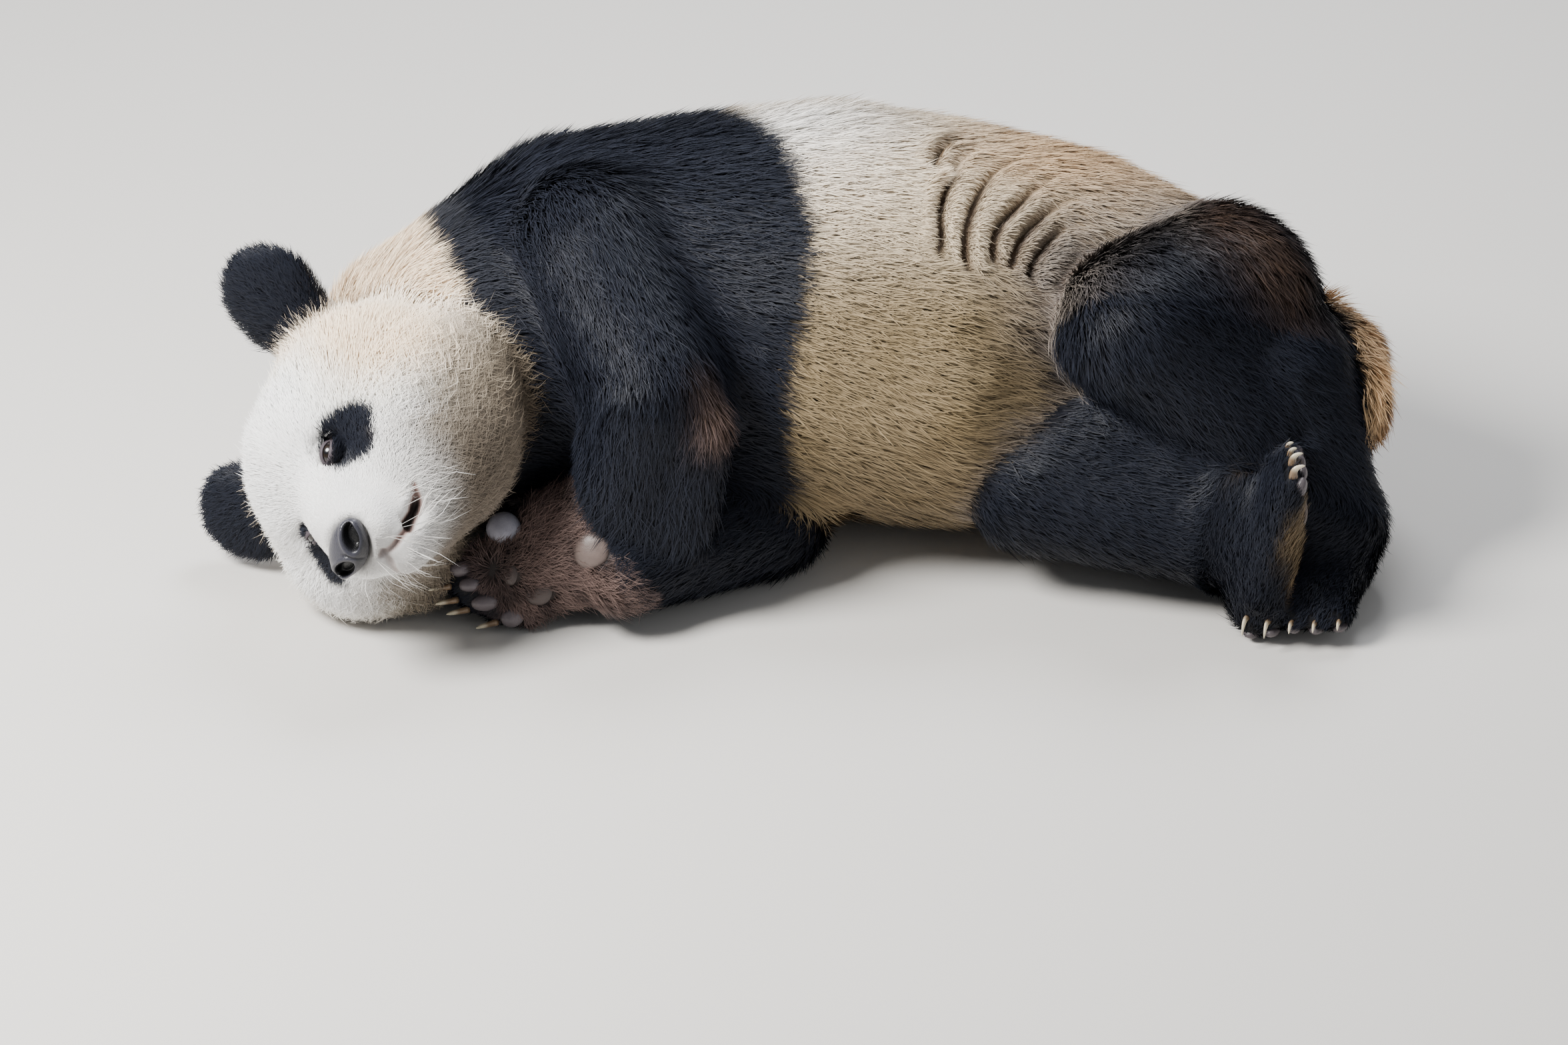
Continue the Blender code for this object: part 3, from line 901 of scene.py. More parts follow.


# %% [markdown]
# ## The colours of the coat
# White on a living panda is never plain: it is bright on the face, peach over the crown, cream and
# tan on the body, and brown where the thin hair of the belly meets the legs. Black has tips with a
# painted cold sheen, pale along the haunch and rusty behind it, and the palm and the hind sole wear
# brown hair. Some colours are painted light: a highlight over the saddle, shade in the loin's
# creases with a highlight beside them, and shade under the jaw. The colour is worked out for each
# point of the skin, and each lock takes the colour of its root, so that skin and coat carry the
# same markings.

# %% The palette, and places that have a colour of their own
WHITE = (0.93, 0.92, 0.90)
CREAM = (0.70, 0.575, 0.41)
TAN = (0.255, 0.190, 0.105)
PEACH = (0.84, 0.63, 0.385)
BROWN = (0.115, 0.070, 0.040)
BLACK = (0.009, 0.009, 0.012)
# The tips of black hair: black, with a painted cold sheen.
BLACK_TIP_AND_SHEEN = (0.016, 0.019, 0.029)
PALM_HAIR = np.array((0.120, 0.082, 0.072))
GREY = (0.36, 0.34, 0.33)
LID = (0.060, 0.049, 0.057)
LIP = (0.260, 0.170, 0.150)
GAPE_SHADE = (0.012, 0.007, 0.006)
PALE_TIP = (0.42, 0.36, 0.30)
RUST_TIP = (0.085, 0.050, 0.032)
TAIL_GOLD = (0.56, 0.345, 0.165)
JOWL_ROOT = (0.060, 0.045, 0.030)
JOWL_TIP = (0.30, 0.240, 0.165)
# The saddle: the back's own white, with a painted highlight on the top of the back.
WHITE_AND_LIT_SADDLE = (-0.01, 0.09, 0.45)
CROWN = (0.06, 0.147, 0.005)
SMUDGES = (((0.185, 0.0, -0.092), 0.036, 0.014), ((0.160, 0.0, -0.130), 0.045, 0.015))
print("white, cream and tan:", WHITE, CREAM, TAN)


# %% The pale coat
def mixed(base, colour, share):
    share = np.asarray(share)[..., None]
    return np.asarray(base) * (1 - share) + np.asarray(colour) * share


def near(points, place, reach):
    """1 at a place of the layout and falling to 0 over about this far."""
    return np.exp(-(distance(to_layout(points), place) / reach) ** 2)


def near_line(points, line, reach):
    away = nearest_on(np.array(line), to_layout(points))[0]
    return np.exp(-(away / reach) ** 2)


def jowl_mask(points, parts, start=-0.034):
    """The coarse brown hair under the cheek and along the jaw."""
    face = to_face(points)
    jowl = ramp(face[:, 2] + 0.014 * cloud(points, 0.02, 8.0), start, start - 0.066)
    return jowl * ramp(face[:, 0], 0.150, 0.100) * on_parts(parts, "head")


def body_colour(points, mottle):
    """Cream, tan towards the belly, golden on the rump, white over the saddle with a painted
    highlight, and painted shade and highlight along the loin's creases.
    """
    laid = to_layout(points)
    streak = cloud(points * (0.35, 1.0, 1.0), 0.012, 4.0)
    golden = ramp(laid[:, 1] + 0.4 * laid[:, 0], 0.02, 0.18)
    low = ramp(laid[:, 2], 0.455, 0.34)
    rump = ramp(laid[:, 0], 0.08, 0.30) * ramp(laid[:, 1], -0.06, 0.06)
    colour = mixed(CREAM, TAN, np.maximum(0.34 * golden, 0.98 * low) + 0.12 * mottle.clip(0))
    colour = mixed(colour, BROWN, 0.16 * ramp(laid[:, 2], 0.25, 0.08))
    colour = mixed(colour, TAIL_GOLD, 0.72 * rump)
    # White over the saddle: partly the coat's own white and partly a painted highlight where the top
    # of the back takes the light.
    colour = mixed(colour, WHITE, 0.85 * near(points, WHITE_AND_LIT_SADDLE, 0.120))
    colour = mixed(colour, BROWN, 0.16 * streak.clip(0))
    # Along the loin's creases: a painted highlight, cream, on the swell beside each crease, and
    # painted shade, dark brown, in the crease itself.
    away, fade = crease_distance(points)
    colour = mixed(colour, CREAM, 0.6 * ramp(away, 0.006, 0.012) * ramp(away, 0.022, 0.016) * fade)
    return mixed(colour, BROWN, 0.95 * ramp(away, 0.0085, 0.0030) * fade)


def face_colour(points):
    """White, peach on the crown and the cheeks, and grey round the nose and on the chin."""
    face = to_face(points)
    cheek = ramp(face[:, 0] - 0.35 * np.abs(face[:, 1]), 0.06, -0.02)
    crown = np.exp(-(distance(face, CROWN) / 0.055) ** 2)
    colour = mixed(WHITE, PEACH, np.minimum(0.55 * cheek + 0.62 * crown, 0.75))
    for place, reach, core in SMUDGES:
        colour = mixed(colour, GREY, 0.55 * ramp(distance(face, place), reach, core))
    return colour


def pale_colour(points, parts):
    """The colour where the coat isn't black."""
    mottle = cloud(points, 0.05, 1.0)
    bright = face_colour(points)
    own = {"head": bright, "neck": mixed(bright, PEACH, 0.45),
           "tail": mixed(CREAM, TAIL_GOLD, 0.75 + 0.5 * mottle.clip(0, 0.4))}
    colour = body_colour(points, mottle)
    for name, part_colour in own.items():
        colour = np.where(on_parts(parts, name)[:, None] > 0.5, part_colour, colour)
    return colour


print("grey smudges on the face:", len(SMUDGES))


# %% Brown palm and sole, jowls and fringes
def outward(parts, name, direction, normals, low=0.05):
    """Where this part's surface looks along a direction."""
    return on_parts(parts, name) * ramp(normals @ direction, low, low + 0.45)


def palm_mask(points, normals, parts):
    """The hairy brown palm: black again at its lower rim and between the fingers."""
    each = PAWS["forepaw_right"]
    mask = outward(parts, "forepaw_right", each["sole"], normals)
    mask = np.maximum(mask, outward(parts, "forearm_right", each["sole"], normals))
    offset = points - each["middle"]
    ragged = 0.014 * cloud(points, 0.016, 21.0)
    along = offset @ each["fingers"] + ragged
    across = offset @ each["across"] + ragged
    mask *= ramp(along, 0.088, 0.030) * ramp(along, -0.088, -0.050)
    return mask * ramp(across - 0.35 * along, -0.092, -0.068) * ramp(across, 0.062, 0.043)


def sole_mask(points, normals, parts):
    """The brown hair of the upturned hind sole, inside a black rim."""
    each = PAWS["hind_foot_right"]
    offset = points - each["middle"]
    across = (offset @ each["across"]) / 0.046
    along = (offset @ each["fingers"] + 0.020) / 0.085
    inside = ramp(np.hypot(across, along) + 0.12 * cloud(points, 0.02, 23.0), 1.15, 0.85)
    return inside * outward(parts, "hind_foot_right", each["sole"], normals, -0.20)


def paint_jowl(points, parts, root, tip):
    jowl = jowl_mask(points, parts)
    # Lowest on the jowl, where the jaw turns under: painted shade, black roots and brown tips.
    low = ramp(to_face(points)[:, 2], -0.090, -0.140) * jowl
    root = mixed(mixed(root, JOWL_ROOT, 0.95 * jowl), BLACK, 0.5 * low)
    tip = mixed(mixed(tip, JOWL_TIP, 0.90 * jowl), BROWN, 0.45 * low)
    return root, tip


def paint_fringes(points, parts, black, root, tip):
    """Brown hair where the haunch's black ends, pale at its tips, and a brown fringe on one arm."""
    soft = capsule_mask(points, LOWER_HIND_LEG, 0.024, 0.008)
    edge = np.clip(4.0 * soft * (1 - soft), 0.0, 1.0) * on_parts(parts, "trunk")
    frost = near_line(points, HAUNCH_FRINGE, 0.060) * on_parts(parts, "trunk", "thigh")
    edge = np.maximum(edge, frost) * (0.75 + 0.5 * cloud(points, 0.010, 17.0)).clip(0.0, 1.0)
    behind = ramp(to_layout(points)[:, 0], 0.400, 0.450)
    root = mixed(root, BROWN, 0.85 * edge * (1 - 0.4 * black))
    tip = mixed(mixed(tip, PALE_TIP, edge * (1 - behind)), RUST_TIP, edge * behind)
    fringe = near_line(points, ARM_FRINGE, 0.020) * on_parts(parts, "forearm_left", "upper_arm_left")
    return mixed(root, BROWN, 0.8 * fringe), mixed(tip, PALM_HAIR * 1.9, 0.8 * fringe)


def paint_palm_and_sole(points, normals, parts, root, tip):
    palm = palm_mask(points, normals, parts)
    dark = palm * 0.85 * ramp(cloud(points, 0.022, 31.0), 0.0, 0.45)
    root = mixed(mixed(root, PALM_HAIR * 0.35, palm), BLACK, dark)
    tip = mixed(mixed(tip, PALM_HAIR * 2.0, palm), PALM_HAIR * 0.6, dark)
    sole = sole_mask(points, normals, parts)
    return mixed(root, BROWN, 0.9 * sole), mixed(tip, TAN, 0.9 * sole)


def paint(points, normals, parts):
    """Colours of the roots and of the tips, and how black the coat is."""
    black = black_mask(points, parts)
    colour = pale_colour(points, parts)
    root = mixed(colour * 0.88, BLACK, black)
    # Black tips carry a painted cold sheen.
    tip = mixed(np.minimum(colour * 1.08, 0.96), BLACK_TIP_AND_SHEEN, black)
    root, tip = paint_jowl(points, parts, root, tip)
    root, tip = paint_fringes(points, parts, black, root, tip)
    root, tip = paint_palm_and_sole(points, normals, parts, root, tip)
    return root, tip, black


print("the haunch's fringe has", len(HAUNCH_FRINGE), "places")


# %% [markdown]
# ## Eyeballs and nose
# Both start as a ball. The eyeballs keep the frame's size and turn their poles to where they look,
# and each point notes how far it lies from the line of sight, so that a colour ramp can draw pupil
# and iris with a crisp edge. The nose is flattened to a rounded shield of leather. Each nostril is
# pushed in as a slanted oval with a raised rim, and a groove parts the shield below them. The
# nostrils, the groove and the shield's lower edge are painted near black as shade.

# %% The eyeballs
def add_ball(name, segments, rings):
    bpy.ops.object.select_all(action="DESELECT")
    bpy.ops.mesh.primitive_uv_sphere_add(segments=segments, ring_count=rings, radius=1.0,
                                         location=(0.0, 0.0, 0.0))
    obj = bpy.context.object
    obj.name = name
    obj.data.shade_smooth()
    return obj


def make_eyeball(name, eye):
    obj = add_ball(name, 48, 40)
    ball = points_of(obj.data)
    axes = np.array([eye["slit"], eye["out"].cross(eye["slit"]), eye["out"]])
    put_points(obj.data, ball @ axes * EYE_RADIUS + eye["middle"])
    off_axis = np.where(ball[:, 2] > 0, np.hypot(ball[:, 0], ball[:, 1]), 1.0)
    keep_values(obj.data, "gaze", off_axis)
    return obj


eyeballs = [make_eyeball(f"{name}ball", eye) for name, eye in EYES.items()]
print("eyeballs:", [obj.name for obj in eyeballs])

# %% The nose pad
NOSE_HALF = (0.0160, 0.0365, 0.0215)
NOSTRIL_PLACE = (0.0200, -0.0025)
NOSTRIL_HALF = (0.0155, 0.0082)
NOSTRIL_LEAN = math.radians(33)
LEATHER = (0.030, 0.030, 0.040)
# Near black for the nostrils, the groove and the underside of the nose: painted shade.
NOSE_SHADE = (0.0015, 0.0015, 0.002)


def paint_points(mesh, colours):
    layer = mesh.color_attributes.new("coat", "FLOAT_COLOR", "POINT")
    values = np.ones((len(colours), 4), np.float32)
    values[:, :3] = np.clip(colours, 0.0, 1.0)
    layer.data.foreach_set("color", values.ravel())


def carve_nostrils(forward, left, up):
    """Pushes both nostrils in; gives the new forward values and how hollow each point is."""
    hollow = np.zeros(len(forward))
    front = ramp(forward, -0.004, 0.002)
    for side in (1, -1):
        length, width = turned(left * side - NOSTRIL_PLACE[0], up - NOSTRIL_PLACE[1], NOSTRIL_LEAN)
        away = np.hypot(length / NOSTRIL_HALF[0], width / NOSTRIL_HALF[1])
        forward = forward + 0.0014 * np.exp(-((away - 1.3) / 0.22) ** 2) * front
        forward = forward - 0.0125 * ramp(away, 1.10, 0.60) * front
        hollow = np.maximum(hollow, ramp(away, 1.10, 0.90) * front)
    groove = np.exp(-(left / 0.0013) ** 2) * ramp(up, 0.004, -0.004) * front
    return forward - 0.0016 * groove, np.maximum(hollow, 0.7 * groove)


def make_nose_pad():
    bpy.ops.object.select_all(action="DESELECT")
    bpy.ops.mesh.primitive_ico_sphere_add(subdivisions=6, radius=1.0, location=(0.0, 0.0, 0.0))
    obj = bpy.context.object
    obj.name = "nose_pad"
    ball = points_of(obj.data)
    forward, left, up = (ball[:, i] * NOSE_HALF[i] for i in range(3))
    left = left * (1 - 0.24 * ramp(up, 0.0, -0.020))
    forward, hollow = carve_nostrils(forward, left, up)
    placed = np.stack((forward, left, up), axis=1) + NOSE_AT
    put_points(obj.data, placed @ HEAD.transposed() + HEAD_CENTRE)
    # The nostrils, the groove and the lower edge of the shield are painted near black: painted shade.
    dark = np.maximum(hollow, 0.6 * ramp(up, -0.011, -0.018))
    paint_points(obj.data, mixed(LEATHER, NOSE_SHADE, dark))
    obj.data.shade_smooth()
    return obj


nose_pad = make_nose_pad()
print("nose pad points:", len(nose_pad.data.vertices))

# %% [markdown]
# ## Pads and claws
# The bare cushions of the upturned palm are what a keeper notices on this paw: four under the
# fingers, a large pale one on the false thumb, two small worn ones in the palm and one on the heel
# of the hand. Each is a ball flattened into the skin, with its thick side out. A claw is a ball too,
# drawn out along a curve that leaves the digit and hooks towards the sole. The other paws get theirs
# by the same rule, but their claws lie deeper in the coat, more so from digit to digit.

# %% The pads
FINGER_PAD = (0.110, 0.093, 0.100)
THUMB_PAD = (0.28, 0.275, 0.32)
PALM_PAD = (0.120, 0.090, 0.080)
WORN_PAD = (0.060, 0.044, 0.040)
PALM_PADS = (
    # along the fingers, to the thumb; half length, half width, height; lean; colour
    (0.079, 0.034, 0.0125, 0.0085, 0.0078, 30, FINGER_PAD),
    (0.079, 0.014, 0.0120, 0.0080, 0.0075, 28, FINGER_PAD),
    (0.075, -0.011, 0.0150, 0.0092, 0.0080, 26, FINGER_PAD),
    (0.059, -0.040, 0.0125, 0.0105, 0.0080, 20, FINGER_PAD),
    (0.016, 0.045, 0.0205, 0.0180, 0.0120, 60, THUMB_PAD),
    (0.021, -0.034, 0.0155, 0.0120, 0.0042, 10, WORN_PAD),
    (0.035, 0.000, 0.0120, 0.0080, 0.0032, -50, WORN_PAD),
    (-0.053, -0.025, 0.0215, 0.0205, 0.0085, 0, PALM_PAD),
)
TOE_PAD_HALF = (0.0105, 0.0085, 0.0060)
SOLE_PAD_HALF = (0.0130, 0.0300, 0.0060)
SKIN_TREE = skin_tree()
PADS = []


def lay_pad(paw_name, place, half, lean, colour):
    """Finds where a pad lies on the skin, looking from outside the sole."""
    each = PAWS[paw_name]
    hit, normal = SKIN_TREE.ray_cast(place + each["sole"] * 0.10, -each["sole"])[:2]
    out = (normal + each["sole"]).normalized()
    turn = math.radians(lean)
    long_way = each["fingers"] * math.cos(turn) + each["across"] * math.sin(turn)
    long_way = (long_way - out * long_way.dot(out)).normalized()
    PADS.append({"place": hit, "out": out, "long": long_way, "wide": out.cross(long_way),
                 "half": half, "colour": colour})


hand = PAWS["forepaw_right"]
for along, across, *half, lean, colour in PALM_PADS:
    place = hand["middle"] + hand["fingers"] * along + hand["across"] * across
    lay_pad("forepaw_right", place, half, lean, colour)
for paw_name in ("forepaw_left", "hind_foot_right", "hind_foot_left"):
    for digit in PAWS[paw_name]["digits"]:
        lay_pad(paw_name, digit["tip"], TOE_PAD_HALF, 0, FINGER_PAD)
    lay_pad(paw_name, PAWS[paw_name]["middle"], SOLE_PAD_HALF, 0, PALM_PAD)


def make_pad(number, pad):
    obj = add_ball(f"pad_{number}", 32, 22)
    ball = points_of(obj.data)
    swell = 1 + 0.07 * cloud(ball, 0.8, number * 3.1)
    axes = np.array([pad["long"] * pad["half"][0], pad["wide"] * pad["half"][1],
                     pad["out"] * pad["half"][2]])
    put_points(obj.data, (ball * swell[:, None]) @ axes + pad["place"])
    tone = 0.62 + 0.42 * ramp(ball[:, 2], -0.1, 0.9)
    paint_points(obj.data, tone[:, None] * pad["colour"])
    return obj


pads = joined("pads", [make_pad(number, pad) for number, pad in enumerate(PADS)])
print("pads:", len(PADS))

# %% The claws
CLAW_LENGTH = 0.026
CLAW_RADIUS = 0.0050
CLAWS_SHOWN = (0.72, 0.66, 0.40, 0.34, 0.30)  # how much of each claw the other paws show
HORN_ROOT = (0.16, 0.105, 0.060)
HORN = (0.62, 0.55, 0.40)


def make_claw(each, digit):
    base = digit["tip"] + digit["heading"] * each["radius"] * 0.45
    base += each["sole"] * each["radius"] * each["raise"]
    shown = 1.0 if each["raise"] > 0 else CLAWS_SHOWN[each["digits"].index(digit)]
    reach = digit["heading"] * CLAW_LENGTH * shown
    hook = each["sole"] * each["curl"] * shown
    bend = base + reach * 0.62 - hook * 0.2
    point = base + reach * 0.95 + hook * 2.0
    control = bend * 2 - (base + point) / 2
    obj = add_ball("claw", 14, 16)
    ball = points_of(obj.data)
    along = ((1 + ball[:, 2]) / 2)[:, None]
    line = (1 - along) ** 2 * base + 2 * along * (1 - along) * control + along ** 2 * point
    way = unit((1 - along) * (control - base) + along * (point - control))
    side = unit(np.cross(way, each["sole"]))
    over = np.cross(side, way)
    thick = CLAW_RADIUS * (0.5 + 0.5 * shown) * (1 - along[:, 0]) ** 0.6 + 0.0003
    thick *= np.clip(2.4 * np.hypot(ball[:, 0], ball[:, 1]), 0.0, 1.0)
    turn = np.arctan2(ball[:, 1], ball[:, 0])
    put_points(obj.data, line + side * (thick * np.cos(turn) * 0.75)[:, None]
               + over * (thick * np.sin(turn) * 1.1)[:, None])
    paint_points(obj.data, mixed(HORN_ROOT, HORN, ramp(along[:, 0], 0.30, 0.72)))
    return obj


all_claws = [make_claw(each, digit) for each in PAWS.values() for digit in each["digits"]]
print("claws:", len(all_claws))
claws = joined("claws", all_claws)

# %% [markdown]
# ## The lie of the coat
# Hair grows away from the nose, over the head and back along the body, and down each leg to the
# toes. Every part of the body has one direction, but on the head the hair leads away from the nose,
# on an ear away from its root, and on the palm away from a whorl in its middle. Averaging the
# directions over the skin joins them as smoothly as on a real animal.

# %% Directions over the skin
RIGHT_ARM = (spot(-0.190, -0.030, 0.140), spot(-0.022, -0.114, 0.080), spot(-0.165, -0.222, 0.078))
LEFT_ARM = (spot(-0.215, -0.030, 0.345), spot(-0.140, -0.185, 0.285), spot(-0.158, -0.200, 0.135))
RIGHT_LEG = (spot(0.450, -0.030, 0.130), spot(0.268, -0.128, 0.135), spot(0.470, -0.178, 0.108))
LEFT_LEG = (spot(0.462, -0.030, 0.282), spot(0.368, -0.128, 0.322), spot(0.592, -0.140, 0.095))
LIE = {
    "neck": (0.90, 0.10, 0.10), "trunk": (1.0, -0.22, -0.10), "tail": (0.25, -0.90, -0.20),
    "upper_arm_right": RIGHT_ARM[1] - RIGHT_ARM[0], "forearm_right": RIGHT_ARM[2] - RIGHT_ARM[1],
    "forepaw_right": right_fingers, "upper_arm_left": LEFT_ARM[1] - LEFT_ARM[0],
    "forearm_left": LEFT_ARM[2] - LEFT_ARM[1], "forepaw_left": left_fingers,
    "thigh_right": RIGHT_LEG[1] - RIGHT_LEG[0], "shank_right": RIGHT_LEG[2] - RIGHT_LEG[1],
    "hind_foot_right": up_toes, "thigh_left": Vector((0.5, -0.75, -0.2)),
    "shank_left": LEFT_LEG[2] - LEFT_LEG[1], "hind_foot_left": front_toes,
}


def along_skin(way, normals):
    """What is left of a direction when the part that leaves the skin is taken away."""
    return way - (way * normals).sum(axis=1)[:, None] * normals


def lie_of_coat(points, normals, parts, edges):
    rows = [Vector(LIE.get(name, (1.0, 0.0, 0.0))).normalized() for name in FLESH]
    way = np.array([tuple(row) for row in rows])[parts]
    hand = PAWS["forepaw_right"]
    whorl = hand["middle"] + hand["fingers"] * 0.045 + hand["across"] * 0.012
    for here, start in (
            (on_parts(parts, "head") > 0.5, face_point(0.20, 0.0, -0.07)),
            (on_parts(parts, "ear_left") > 0.5, face_point(-0.006, 0.085, 0.075)),
            (on_parts(parts, "ear_right") > 0.5, face_point(-0.006, -0.085, 0.075)),
            (palm_mask(points, normals, parts) > 0.3, whorl)):
        way[here] = unit(points[here] - start)
    way[:, 2] -= 0.12
    swirl = (0.30 * cloud(points, 0.055, 11.0)
             + 1.6 * jowl_mask(points, parts) * cloud(points, 0.011, 13.0))[:, None]
    way = way * np.cos(swirl) + np.cross(normals, way) * np.sin(swirl)
    way = averaged(unit(along_skin(way, normals)), edges, 14)
    return unit(along_skin(way, normals))


print("parts with a direction of their own:", len(LIE))


# %% [markdown]
# ## How long and how thick the hair is
# The hair is a few millimetres long on the muzzle, two or three centimetres on the cheeks and the
# legs and nearly four on the flanks. A table gives each part its length, the width of a lock, the
# locks on a square metre, how steeply they rise from the skin and how much they wave. On the head
# the values change with the distance from the nose. Cheeks, palm, one arm's end and the creases
# have hair of their own.

# %% The table of hair
HAIR_FIELDS = ("length", "width", "number", "rise", "wave")
HAIR = {  # kind: length, width, locks per square metre, rise in degrees, waviness
    "neck": (0.030, 0.0013, 320e3, 28, 0.08),
    "trunk": (0.038, 0.0016, 158e3, 31, 0.10),
    "tail": (0.040, 0.0014, 360e3, 26, 0.06),
    "ear": (0.019, 0.0010, 540e3, 64, 0.34),
    "upper": (0.034, 0.0016, 220e3, 31, 0.10),
    "forearm": (0.030, 0.0015, 240e3, 31, 0.10),
    "forepaw": (0.015, 0.0010, 480e3, 34, 0.20),
    "thigh": (0.034, 0.0015, 230e3, 34, 0.20),
    "shank": (0.030, 0.0015, 240e3, 31, 0.10),
    "hind": (0.022, 0.0011, 400e3, 34, 0.14),
}
print("kinds of hair:", len(HAIR))


# %% Where no hair grows
def oval(points, middle, long_way, wide_way, half):
    """How far out each point lies in an oval: 1 at its rim, and 9 for all that is not near."""
    offset = points - middle
    away = np.hypot((offset @ long_way) / half[0], (offset @ wide_way) / half[1])
    return np.where(np.linalg.norm(offset, axis=1) < 0.03, away, 9.0)


def eye_oval(points, eye, rim):
    """The same for the slit of an eye with a rim of this width."""
    half = [each + rim for each in SLIT_HALF]
    return oval(points, eye["middle"], eye["slit"], eye["brow"], half)


def bare_mask(points):
    """0 where no hair grows: the lids' rims, the nose, the gape of the mouth and the pads."""
    grow = np.ones(len(points))
    for eye in EYES.values():
        grow[eye_oval(points, eye, 0.0035) < 1.0] = 0.0
    nose = (to_face(points) - NOSE_AT) / (0.030, 0.0335, 0.0205)
    grow[np.linalg.norm(nose, axis=1) < 1.0] = 0.0
    grow[kept_values(skin.data, "mouth_shade") > 0.3] = 0.0
    for pad in PADS:
        grow[oval(points, pad["place"], pad["long"], pad["wide"], pad["half"]) < 0.93] = 0.0
    return grow


print("kept bare: two eyes, the nose, the gape and", len(PADS), "pads")


# %% Length, width and number at each place
def drawn_to(values, goal, share):
    """Brings the values towards a goal by this share."""
    values += (goal - values) * share


def head_hair(points, parts, hair):
    """Longer and sparser with the distance from the nose, and curly on the cheeks."""
    head = on_parts(parts, "head") > 0.5
    grown = ramp(distance(to_face(points), NOSE_AT), 0.02, 0.24)
    hair["length"][head] = (0.0050 + 0.025 * grown ** 1.3)[head]
    hair["width"][head] = (0.0006 + 0.0009 * grown)[head]
    hair["number"][head] = (880e3 - 560e3 * grown)[head]
    hair["rise"][head] = (24 + 20 * grown)[head]
    hair["wave"][head] = 0.10
    cheek = jowl_mask(points, parts)
    curly = jowl_mask(points, parts, 0.012)
    hair["wave"] += 0.80 * curly
    hair["length"] += 0.005 * cheek
    hair["width"] -= 0.0004 * cheek
    hair["number"] += 30e3 * cheek
    hair["rise"] += 12 * curly


def arm_hair(points, normals, parts, hair):
    """Loose hair on the palm, and a long brush at the end of the left forearm."""
    palm = palm_mask(points, normals, parts)
    drawn_to(hair["length"], 0.028, palm)
    drawn_to(hair["width"], 0.0010, palm)
    drawn_to(hair["number"], 460e3, palm)
    hair["rise"] += 10 * palm
    hair["wave"] += 0.22 * palm
    arm_end = near(points, ARM_END, 0.075) * on_parts(parts, "forearm_left")
    hair["length"] += 0.026 * arm_end
    hair["rise"] += 8 * arm_end
    hair["wave"] += 0.25 * arm_end


def short_hair(points, hair):
    """Short round the pads and beside the lips, and like plush along the creases."""
    for pad in PADS:
        away = distance(points, pad["place"]) - max(pad["half"])
        hair["length"] *= 1 - 0.55 * ramp(away, 0.010, 0.0)
    away, fade = crease_distance(points)
    plush = ramp(away, 0.040, 0.018) * ramp(fade, 0.0, 0.25)
    drawn_to(hair["length"], np.minimum(0.016, 0.007 + 0.5 * away), plush)
    drawn_to(hair["width"], 0.0011, plush)
    drawn_to(hair["number"], 360e3, plush)
    hair["length"] *= 1 - 0.60 * kept_values(skin.data, "beside_lip")


def hair_at(points, normals, parts, edges):
    """A table of the hair's length, width, number, rise and waviness at each point."""
    hair = {field: by_part(parts, {kind: row[i] for kind, row in HAIR.items()})
            for i, field in enumerate(HAIR_FIELDS)}
    head_hair(points, parts, hair)
    arm_hair(points, normals, parts, hair)
    short_hair(points, hair)
    table = averaged(np.stack(list(hair.values()), axis=1), edges, 6)
    table[:, 2] *= bare_mask(points)
    return table


print("fields of the hair:", HAIR_FIELDS)


# %% [markdown]
# ## Growing the coat
# Particle hair would be lost when the model leaves Blender, so each lock is a real strip of mesh.
# It starts in the skin, rises and bends over along the lie of the coat, waves a little, and tapers
# to a point. Neighbouring locks lean to a common middle, as damp or dusty hair does, and each strip
# is rolled a little about its own line so that no two catch the light alike. For shading, the
# normals of a strip lean to the skin's, so that the coat reads as one soft mass.

# %% Scatter the roots
def skin_table():
    """All that the coat needs to know about each point of the skin."""
    mesh = skin.data
    points = points_of(mesh)
    normals = normals_of(mesh)
    edges = edges_of(mesh)
    parts = parts_at(points)
    root, tip, black = paint(points, normals, parts)
    return {"points": points, "normals": normals, "parts": parts, "root": root, "tip": tip,
            "black": black, "lie": lie_of_coat(points, normals, parts, edges),
            "hair": hair_at(points, normals, parts, edges)}


def corners_of(mesh):
    """The points of every triangle, and their places on the unwrap."""
    corners = read(mesh.loops, "vertex_index", 1, np.int32)
    places = read(mesh.uv_layers["OFBake"].uv, "vector", 2)
    return corners.reshape(-1, 3), places.reshape(-1, 3, 2)


def scatter(table, corners, places, seed, thinning):
    """Random roots over the skin, with the values of the skin at each root."""
    rng = np.random.default_rng(seed)
    a, b, c = (table["points"][corners[:, i]] for i in range(3))
    area = np.linalg.norm(np.cross(b - a, c - a), axis=1) / 2
    number = table["hair"][corners, 2].mean(axis=1)
    total = np.cumsum(area * number * thinning)
    count = int(total[-1])
    face = np.searchsorted(total, (np.arange(count) + rng.random(count)) * total[-1] / count)
    face = np.minimum(face, len(corners) - 1)
    u = rng.random(count)
    v = rng.random(count)
    flip = u + v > 1
    u[flip] = 1 - u[flip]
    v[flip] = 1 - v[flip]
    weight = np.stack((1 - u - v, u, v), axis=1)
    mix = {key: (value[corners[face]] * weight[:, :, None]).sum(axis=1)
           for key, value in table.items() if key not in ("parts", "black")}
    mix["black"] = (table["black"][corners[face]] * weight).sum(axis=1)
    mix["parts"] = table["parts"][corners[face, 0]]
    mix["place"] = (places[face] * weight[:, :, None]).sum(axis=1)
    return mix


TABLE = skin_table()
CORNERS, PLACES = corners_of(skin.data)
THINNING = 1.0
ROOTS = scatter(TABLE, CORNERS, PLACES, 7, THINNING)
print("locks:", len(ROOTS["points"]))

